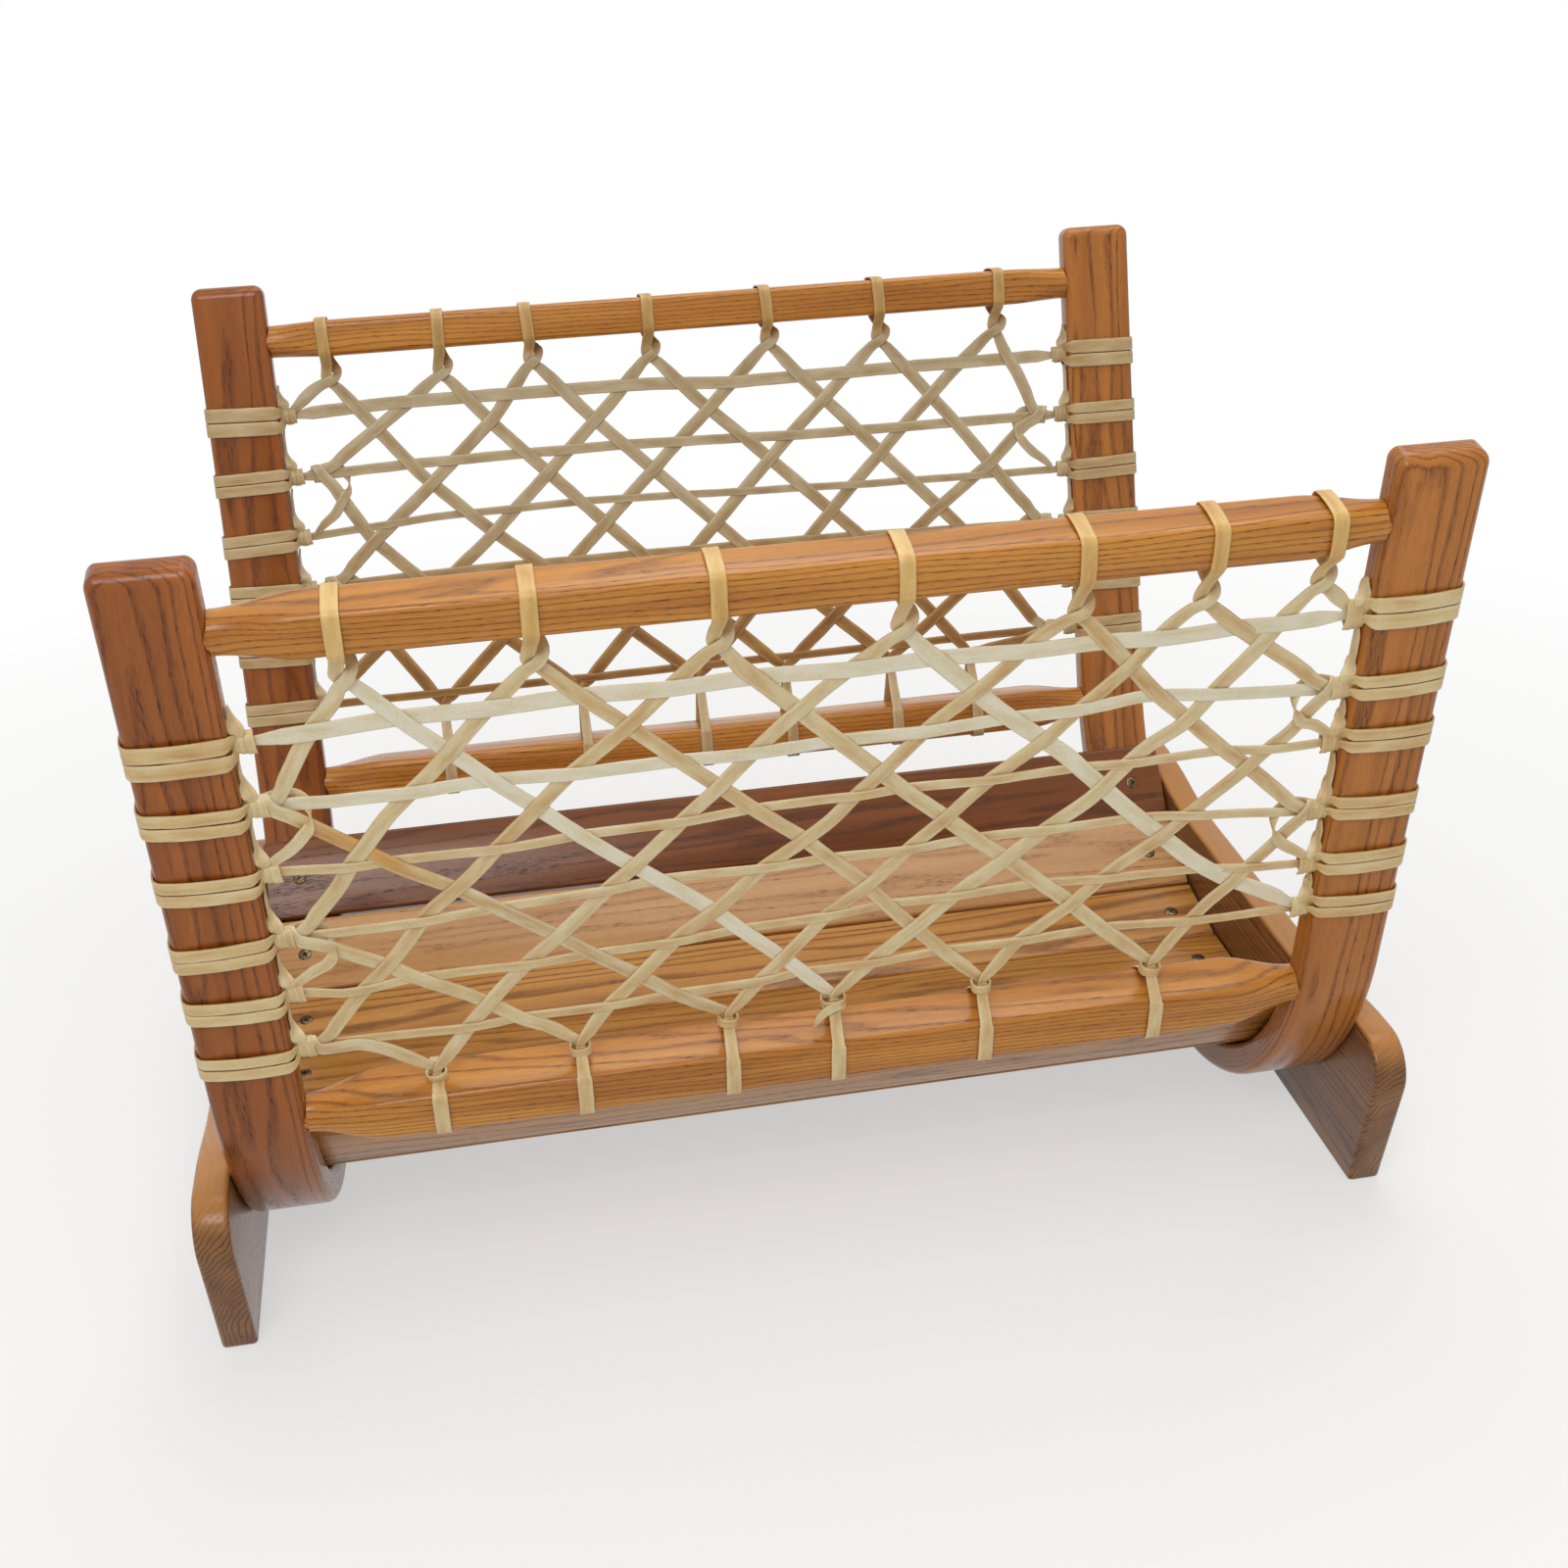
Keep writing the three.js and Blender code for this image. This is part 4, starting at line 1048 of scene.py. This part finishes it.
def top_loop(x, tip, lean, tone):
    """Stations of a loop: up from the tip before the rail, over it, down behind and forward to the tip."""
    near, up, radius = rail_corners(TOP_RAIL)
    start = tangent_turn((2.0, tip + 6), (near, RAIL_DISTANCE - up), radius, 1)
    points = [(x + 1, tip - 3, 0.2), (x - 2.4, tip + 1, 1.2), (x - 1.6, tip + 6, 2.2)]
    faces = [(0, 0, 1), (0, 0, 1), (0, -0.2, 1)]
    for corner, first, last in (((near, RAIL_DISTANCE - up), start, 0),
                                ((near, RAIL_DISTANCE + up), 0, math.pi / 2),
                                ((-near, RAIL_DISTANCE + up), math.pi / 2, math.pi),
                                ((-near, RAIL_DISTANCE - up), math.pi, math.pi - start * 0.8)):
        for (n, v), (out_n, out_v) in corner_points(corner, radius, first, last):
            share = (v - tip) / (RAIL_DISTANCE + up - tip)
            points.append((x + lean * share, v, n))
            faces.append((0, out_v, out_n))
    # From behind, the thong comes forward to the right of itself and folds down over the front
    points += [(x + 4, tip + 8.5, -5), (x + 6, tip + 5.5, -1), (x + 4.6, tip + 2, 2.7)]
    faces += [(0.2, -0.8, -0.55), (0.45, -0.35, -0.8), (0.25, 0.1, -0.95)]
    ease = from_ends(len(points), 4)
    return stations(points, faces, TIP_WIDTH + 2.0 * ease, tone + 0.08 * ease, 0.2 + 0.75 * ease)


def stop_points(panel, end):
    """Places (x, up, near) of all the ends of a panel's strands."""
    tie_x = CLEAR_LENGTH / 2 - panel["reach"]
    places = {
        "T": [(x, RAIL_DISTANCE - TOP_RAIL["height"] / 2 - hang, 0) for x, hang in panel["tops"]],
        "B": [(x, LOWER_RAIL["height"] / 2 + stand, 0) for x, stand in panel["bottoms"]],
        "L": [(-tie_x, v, 0) for v in panel["ties"]["L"]],
        "M": [(tie_x, v, 0) for v in panel["ties"]["M"]],
    }
    for label, side in (("K", -1), ("R", 1)):
        to_panel = panel_matrix(end).inverted() @ post_matrix(side, end)
        spots = [Vector((NECK_ACROSS, 0, height - NECK_DROP[end, side])) for height in KNOTS[end, side]]
        places[label] = [tuple(to_panel @ spot) for spot in spots]
    return places


# How near to the viewer each kind of strand ends at each kind of stop, and how much of it the stop takes up
NEARNESS = {"falling": {"T": 0.0, "B": -0.9, "M": 1.6, "L": 3.2, "R": 0.75, "K": 0.75},
            "rising": {"T": 2.4, "B": 0.9, "M": 3.2, "L": 1.6, "R": 0.75, "K": 0.75},
            "level": {"K": -0.2, "R": -0.2}}
TRIM = {"T": 9, "B": 7, "L": 16, "M": 16, "K": 0, "R": 0}


def panel_strands(panel, end):
    stops = stop_points(panel, end)
    strands = []
    for kind in ("falling", "rising", "level"):
        for first, *bends, last, tone, width in panel[kind]:
            ends = [stops[name[0]][int(name[1:]) - 1] for name in (first, last)]
            strands.append({"kind": kind, "first": first, "last": last, "tone": tone, "width": width,
                            "line": even_line([ends[0][:2], *bends, ends[1][:2]]), "rear": end > 0,
                            "from": NEARNESS[kind][first[0]] + ends[0][2],
                            "to": NEARNESS[kind][last[0]] + ends[1][2]})
    for strand, heights in zip(strands, woven(strands)):
        strand["near"] = heights
    return strands


def strand_table(strand, look, stops):
    """Stations of a strand between its ties or tips, with the side of the hide that it shows."""
    line = strand["line"]
    first, last = strand["first"][0], strand["last"][0]
    from_first = np.linalg.norm(line - line[0], axis=1)
    from_last = np.linalg.norm(line - line[-1], axis=1)
    width = np.full(len(line), strand["width"])
    for away, stop in ((from_first, first), (from_last, last)):
        if stop in "TB":
            width = np.minimum(width, TIP_WIDTH + away / 7)
        elif stop in "KR":
            width = np.minimum(width, KNOT_WIDTH + away / 3)
    keep = (from_first >= TRIM[first]) & (from_last >= TRIM[last])
    warm = np.full(len(line), 0.9 * max(strand["tone"] - 0.1, 0))
    tone = np.full(len(line), strand["tone"])
    if strand["rear"]:
        # Painted shade: the rear panel is drawn darker and more golden towards the floor, where the front
        # rail shades it
        low = np.clip(1.9 - line[:, 1] / 100, 0, 1)
        warm, tone = 0.1 + 0.8 * low, tone + 0.35 * low
    elif (strand["kind"], strand["first"]) == ("falling", "L1"):
        # An orange stain beside the left post
        warm = np.exp(-((line[:, 0] + 245) / 30) ** 2)
    points = np.column_stack([line, strand["near"]])[keep]
    table = stations(points, (0, 0, look), width[keep], tone[keep], warm[keep], 3.2)
    if last == "B":
        x, tip, _ = stops["B"][int(strand["last"][1:]) - 1]
        lean = -1 if strand["kind"] == "falling" else 1
        ends = stations([(x + 0.5 * lean, tip + 1, 0.8 * lean), (x, tip - 5, 0.9 * lean)], (0, 0, look),
                        (5.6, 4.6), table[-1, TONE] + 0.05, table[-1, WARM])
        table = np.vstack([table, ends])
    return table


def hitch(middle, side, arrive, leave, look, tone):
    """Turn of a slanting thong round its level strand: over it, up behind it and out over itself."""
    # Each row is a place from the middle of the tie (x, up, near), the way that the face looks, and a width
    shape = np.array(((12 * arrive[0], 12 * arrive[1], 1.5, 0, 0, 1, 8.5), (1, 1, 1.5, -0.1, 0, 1, 8),
                      (4, -5.2, 0.4, 0, -1, 0.3, 7.5), (4.7, -5, -1.2, 0, -0.7, -0.7, 7.5),
                      (5.4, 0, -1.7, 0, 0, -1, 7.5), (6.2, 5.4, -1.1, 0, 0.7, -0.7, 7.5),
                      (6, 7, 0.9, 0, 1, 0.3, 7.5), (5, 5.6, 3.0, 0, 0.5, 0.9, 8), (2, 0, 3.1, 0, 0, 1, 8.5),
                      (10 * leave[0], 10 * leave[1], 3.1, 0, 0, 1, 9)))
    points = shape[:, :3] * (side, 1, 1) + middle
    return stations(points, shape[:, 3:6] * (side * look, look, look), shape[:, 6], tone, 0.1, 1.5)


def tie_strap(lacing, matrix, side, middle, below):
    """Loop that ties a hitch to the post: out from one knot, round the thong and in to the next knot."""
    points = [(12, 1, -2), (4, 3, -2.4), (-4, 4.5, -2.6), (-10, 3.5, -2.4), (-14, 0, -2.2), (-16, -5, -1),
              (-16.5, -9, 1.6), (-15.5, -13, 4.6), (-12, -18, 4.6), (-4, below + 16, 3.4),
              (5, below + 9, 2.4), (11, below + 3, 1.0)]
    faces = [(0, 0, -1)] * 4 + [(0.2, 0, -1), (0.8, 0, -0.6), (1, 0, 0.2), (0.5, 0, 0.9)] + [(0, 0, 1)] * 4
    widths = (4, 7, 8, 7.5, 6.5, 5.5, 5.5, 6.5, 7.5, 7.5, 6, 4)
    mirror = np.array((side, 1, 1))
    lacing.thong(matrix, stations(np.array(points) * mirror + middle, np.array(faces) * mirror, widths,
                                  lacing.chance.uniform(0.26, 0.42), 0.25))


def weave_panel(end, end_name, panel, material):
    matrix = panel_matrix(end)
    lacing = Lacing(7 + end)
    strands = panel_strands(panel, end)
    stops = stop_points(panel, end)
    levels = [strand for strand in strands if strand["kind"] == "level"]
    starting = {(strand["kind"], strand["first"]): strand for strand in strands}

    def middle_of(tie):
        level = levels[2 * int(tie[1:]) - 1]
        x = stops[tie[0]][0][0]
        across, up = level["line"].T
        return x, np.interp(x, across, up), np.interp(x, across, level["near"])

    def through_tie(arriving, leaving, look):
        """Hitch and the strand that leaves it, as tables."""
        tie = arriving["last"]
        side = -1 if tie[0] == "L" else 1
        middle = middle_of(tie)
        onward = strand_table(leaving, look, stops)
        coming = strand_table(arriving, look, stops)[-1, :2] - middle[:2]
        going = onward[0, :2] - middle[:2]
        coming, going = (way / np.linalg.norm(way) * (side, 1) for way in (coming, going))
        return [hitch(middle, side, coming, going, look, arriving["tone"]), onward]

    for strand in levels:
        lacing.thong(matrix, strand_table(strand, 1, stops))
    # One thong at each top loop: up the falling strand, round the rail, down the rising one and past its tie
    for k, (x, tip, _) in enumerate(stops["T"], 1):
        falling, rising = starting["falling", f"T{k}"], starting["rising", f"T{k}"]
        tables = [strand_table(falling, 1, stops)[::-1]]
        if falling["last"][0] == "M":
            turn, onward = through_tie(falling, starting["rising", falling["last"]], 1)
            tables = [onward[::-1], turn[::-1]] + tables
        tables += [top_loop(x, tip, lacing.chance.uniform(-2.0, 1.0), falling["tone"] * 0.5 + 0.12),
                   strand_table(rising, -1, stops)]
        if rising["last"][0] == "L":
            tables += through_tie(rising, starting["falling", rising["last"]], -1)
        lacing.thong(matrix, *tables)
    for (x, tip, _), knot in zip(stops["B"], COLLARS):
        bottom_loop(lacing, matrix, x, tip)
        collar(lacing, matrix, x, tip, *knot)
    for label, side in (("L", -1), ("M", 1)):
        knots = stops["K" if side < 0 else "R"]
        for k in range(1, len(stops[label]) + 1):
            if 2 * k < len(knots):
                middle = middle_of(f"{label}{k}")
                tie_strap(lacing, matrix, side, middle, knots[2 * k][1] - middle[1])
    lacing.piece(f"{end_name}_weave", material, f"{end_name}_lacing")


def bottom_loop(lacing, matrix, x, tip):
    """Strap from the collar down the rail's near side, under it and up behind, back to the collar."""
    near, up, radius = rail_corners(LOWER_RAIL)
    start = tangent_turn((2.4, tip - 3), (near, up), radius, -1)
    points, faces = [(x, tip - 1, 2.4), (x, tip - 5, 2.4)], [(0, 0, 1), (0, 0, 1)]
    quarter = -math.pi / 2
    for centre, first, last in (((near, up), start, 0), ((near, -up), 0, quarter),
                                ((-near, -up), quarter, -math.pi), ((-near, up), -math.pi, -math.pi - start)):
        for (n, v), (out_n, out_v) in corner_points(centre, radius, first, last):
            points.append((x, v, n))
            faces.append((0, out_v, out_n))
    points += [(x, tip - 5, -2.4), (x, tip - 1, -2.4)]
    faces += [(0, 0, -1), (0, 0, -1)]
    widths = 5.5 + 3.4 * from_ends(len(points), 3)
    lacing.thong(matrix, stations(points, faces, widths, lacing.chance.uniform(0.30, 0.46), 0.4))


def winding(centre, plane, reach, drift, turns, start=0.0, grow=1.0):
    """Points and faces of a thong wound round an axis: its two ways across, and its drift along it in all."""
    turn_steps, squareness = 14, 0.75
    points, faces = [], []
    count = int(turns * turn_steps)
    centre, (first, second), drift = np.array(centre, float), np.array(plane, float), np.array(drift, float)
    for k in range(count + 1):
        angle = start + k / turn_steps * 2 * math.pi
        c, s = math.cos(angle), math.sin(angle)
        across, up = (math.copysign(abs(value) ** squareness, value) for value in (c, s))
        size = 1 + (grow - 1) * k / count
        points.append(centre + (first * across * reach[0] + second * up * reach[1]) * size
                      + drift * (k / count - 0.5))
        faces.append(first * c / reach[0] + second * s / reach[1])
    return points, faces


# Each collar under a tip: its tilt, width and height on the tip, and how far its loose end reaches
COLLARS = ((0.22, 6.4, 1.0, 0), (0.08, 6.2, 1.0, 8), (-0.06, 6.4, 1.0, 9), (0.10, 7.6, 1.25, 12),
           (0.05, 6.4, 1.0, 8), (-0.12, 6.6, 1.05, 7))


def collar(lacing, matrix, x, tip, tilt, width, size, tail):
    points, faces = winding((x, tip - 4, 0), ((1, tilt, 0), (0, 0, 1)), (5.0 * size, 3.9 * size), (0, 1.8, 0),
                            1.3, -2.4, 1.14)
    widths = [width] * len(points)
    if tail:
        end = points[-1]
        points += [end + np.array((-3.5, 1.0, 0.9)), end + np.array((-tail, 0.4, 1.2))]
        faces += [np.array((0.1, 0.2, 1.0)), np.array((0.0, 0.35, 0.9))]
        widths += [width * 0.8, 1.6]
    lacing.thong(matrix, stations(points, faces, widths, lacing.chance.uniform(0.30, 0.48), 0.4, 1.4))
    if size > 1.2:
        # The largest collar's second end hangs down
        points = [(x + 3, tip - 2, 5.6), (x - 4, tip - 5, 6.4), (x - 9, tip - 11, 5.6),
                  (x - 12, tip - 18, 5.2)]
        lacing.thong(matrix, stations(points, (0, 0.2, 1), (5, 6, 5, 1.6), 0.4, 0.2))


def wrap_post(side, side_name, end, end_name, material):
    """Two turns round the post at each height, drawn together on its inner side and lashed there."""
    matrix = post_matrix(side, end)
    lacing = Lacing(50 + 7 * side + 3 * end)
    chance = lacing.chance
    half_a, half_b, radius = FRAME_WIDTH / 2, FRAME_THICKNESS / 2, FRAME_EDGE + HIDE_GAP
    inner_a, inner_b = half_a - FRAME_EDGE, half_b - FRAME_EDGE
    front = -end
    above = None
    for index, height in enumerate(KNOTS[end, side]):
        neck = height - NECK_DROP[end, side]
        width, pitch = TOP_TURNS if index == 0 else (chance.uniform(*TURN_WIDTHS), TURN_PITCH)
        slope = chance.uniform(-1.0, 1.0)
        tone = chance.uniform(0.24, 0.44)
        for turn in (0.5, -0.5):
            level = height + pitch * turn
            # Both ends of a turn lie together at the neck, one on the panel's side and one behind it
            points = [(-34, 1.55, neck + 3.6 * turn), (-28.4, 1.6, neck + 4.4 * turn)]
            faces = [(0, 1, 0), (-0.3, 1, 0)]
            for centre, first, last in (((-inner_a, inner_b), 150, 90), ((inner_a, inner_b), 90, 0),
                                        ((inner_a, -inner_b), 0, -90), ((-inner_a, -inner_b), -90, -150)):
                span = (math.radians(first), math.radians(last))
                for (across, out), way in corner_points(centre, radius, *span):
                    points.append((across, out, level + slope * across / half_a))
                    faces.append((way[0], way[1], 0))
            points += [(-28.4, -1.6, neck + 4.4 * turn), (-34, -1.55, neck + 3.6 * turn)]
            faces += [(-0.3, -1, 0), (0, -1, 0)]
            places = np.arange(len(points))
            widths = np.interp(np.minimum(places, places[::-1]), (0, 1, 2, 5),
                               (KNOT_WIDTH, 3.9, width * 0.72, width))
            lacing.thong(matrix, stations(points, faces, widths, tone, 0.5))
        # The run down the post's inner face turns to the front as an ear and winds round the neck
        ear = [(-26.6, 0, neck + 19, -1, 0, 0, 8.0),
               (-27.4, 1.4 * front, neck + 13, -0.75, 0.6 * front, 0.1, 9.0),
               (-29.6, 3.4 * front, neck + 8.5, -0.35, 0.9 * front, 0.2, 8.0)]
        run = [(-26.8, 0.3 * front, neck + 23, -1, 0, 0, 1.6)]
        if above is not None:
            run = [(-27.2, 0, above - 8, -1, 0, 0, 5.0), (-26.5, 0, above - 14, -1, 0, 0, 8.0),
                   (-26.5, 0, (above + neck) / 2 + 2, -1, 0, 0, 8.4)]
        path = np.array(run + ear)
        lash = chance.uniform(0.30, 0.50)
        # The top lashing at the front right is half as tall again
        tall = 1.5 if (end, side, index) == (-1, 1, 0) else 1.0
        coil, coil_faces = winding((-31.6, 0, neck), ((0, front, 0), (0, 0, -1)), (3.7, 4.8 * tall),
                                   (-8.0, 0, 0), 2.35, -0.9, 1.2)
        lacing.thong(matrix, stations(path[:, :3], path[:, 3:6], path[:, 6], tone, 0.3),
                     stations(coil, coil_faces, 4.6, lash, 0.35, 1.3))
        above = neck
    lacing.piece(f"{end_name}_{side_name}_post_turns", material, f"{end_name}_{side_name}_post_lacing")


for (end, end_name), panel, material in zip(ENDS, (FRONT, REAR), (hide_front, rear_hide_in_painted_shade)):
    weave_panel(end, end_name, panel, material)
for (end, end_name), material in zip(ENDS, (hide_front, rear_hide_in_painted_shade)):
    for side, side_name in SIDES:
        wrap_post(side, side_name, end, end_name, material)


def seen_share(tree):
    """1 for rays from the camera, in gloss or through glass, and 0 for light that spreads."""
    path = add(tree, "ShaderNodeLightPath").outputs
    seen = add(tree, MATH, (path["Is Camera Ray"], path["Is Glossy Ray"]), operation="MAXIMUM")
    return add(tree, MATH, (seen, path["Is Transmission Ray"]), operation="MAXIMUM")


def floor_material():
    """Pale studio floor: seen by the camera and in gloss as white, with the holder's soft shadow."""
    material, tree, _ = new_material("pale_floor")
    tree.nodes.clear()
    place = add(tree, "ShaderNodeTexCoord").outputs["Object"]
    away = add(tree, VECTOR, (place,), operation="LENGTH")
    share = add(tree, "ShaderNodeMapRange", {"Value": away, "From Min": 0.4, "From Max": 1.3, "To Min": 0.55,
                                             "To Max": 1.0})
    share = add(tree, MATH, (share, seen_share(tree)), operation="MULTIPLY")
    plain = add(tree, "ShaderNodeBsdfDiffuse", {"Color": linear("#F4F3F0")})
    white = add(tree, "ShaderNodeEmission", {"Color": (1, 1, 1, 1), "Strength": 1.0})
    mixed = add(tree, "ShaderNodeMixShader", (share, plain, white))
    add(tree, "ShaderNodeOutputMaterial", {"Surface": mixed})
    return material


def studio():
    bm = bmesh.new()
    size = 30
    corners = [bm.verts.new((x * size, y * size, 0)) for x, y in ((-1, -1), (1, -1), (1, 1), (-1, 1))]
    bm.faces.new(corners)
    floor = to_object("floor", bm, floor_material())
    world = bpy.data.worlds.new("studio")
    bpy.context.scene.world = world
    world.use_nodes = True
    tree = world.node_tree
    tree.nodes.clear()
    fill, white = (add(tree, "ShaderNodeBackground", {"Color": (1, 1, 1, 1), "Strength": strength})
                   for strength in (0.40, 1.0))
    mixed = add(tree, "ShaderNodeMixShader", (seen_share(tree), fill, white))
    add(tree, "ShaderNodeOutputWorld", {"Surface": mixed})
    target = Vector((0, 0, 0.25))
    for name, spot, size, power in (("key", (-0.5, -1.7, 2.0), 0.9, 18),
                                    ("overhead", (0.3, 0.4, 2.3), 1.5, 20)):
        data = bpy.data.lights.new(name, "AREA")
        data.size = size
        data.energy = power
        lamp = bpy.data.objects.new(name, data)
        lamp.location = spot
        lamp.rotation_euler = (target - Vector(spot)).to_track_quat("-Z", "Y").to_euler()
        bpy.context.scene.collection.objects.link(lamp)


studio()
bpy.context.scene.view_settings.view_transform = "Standard"
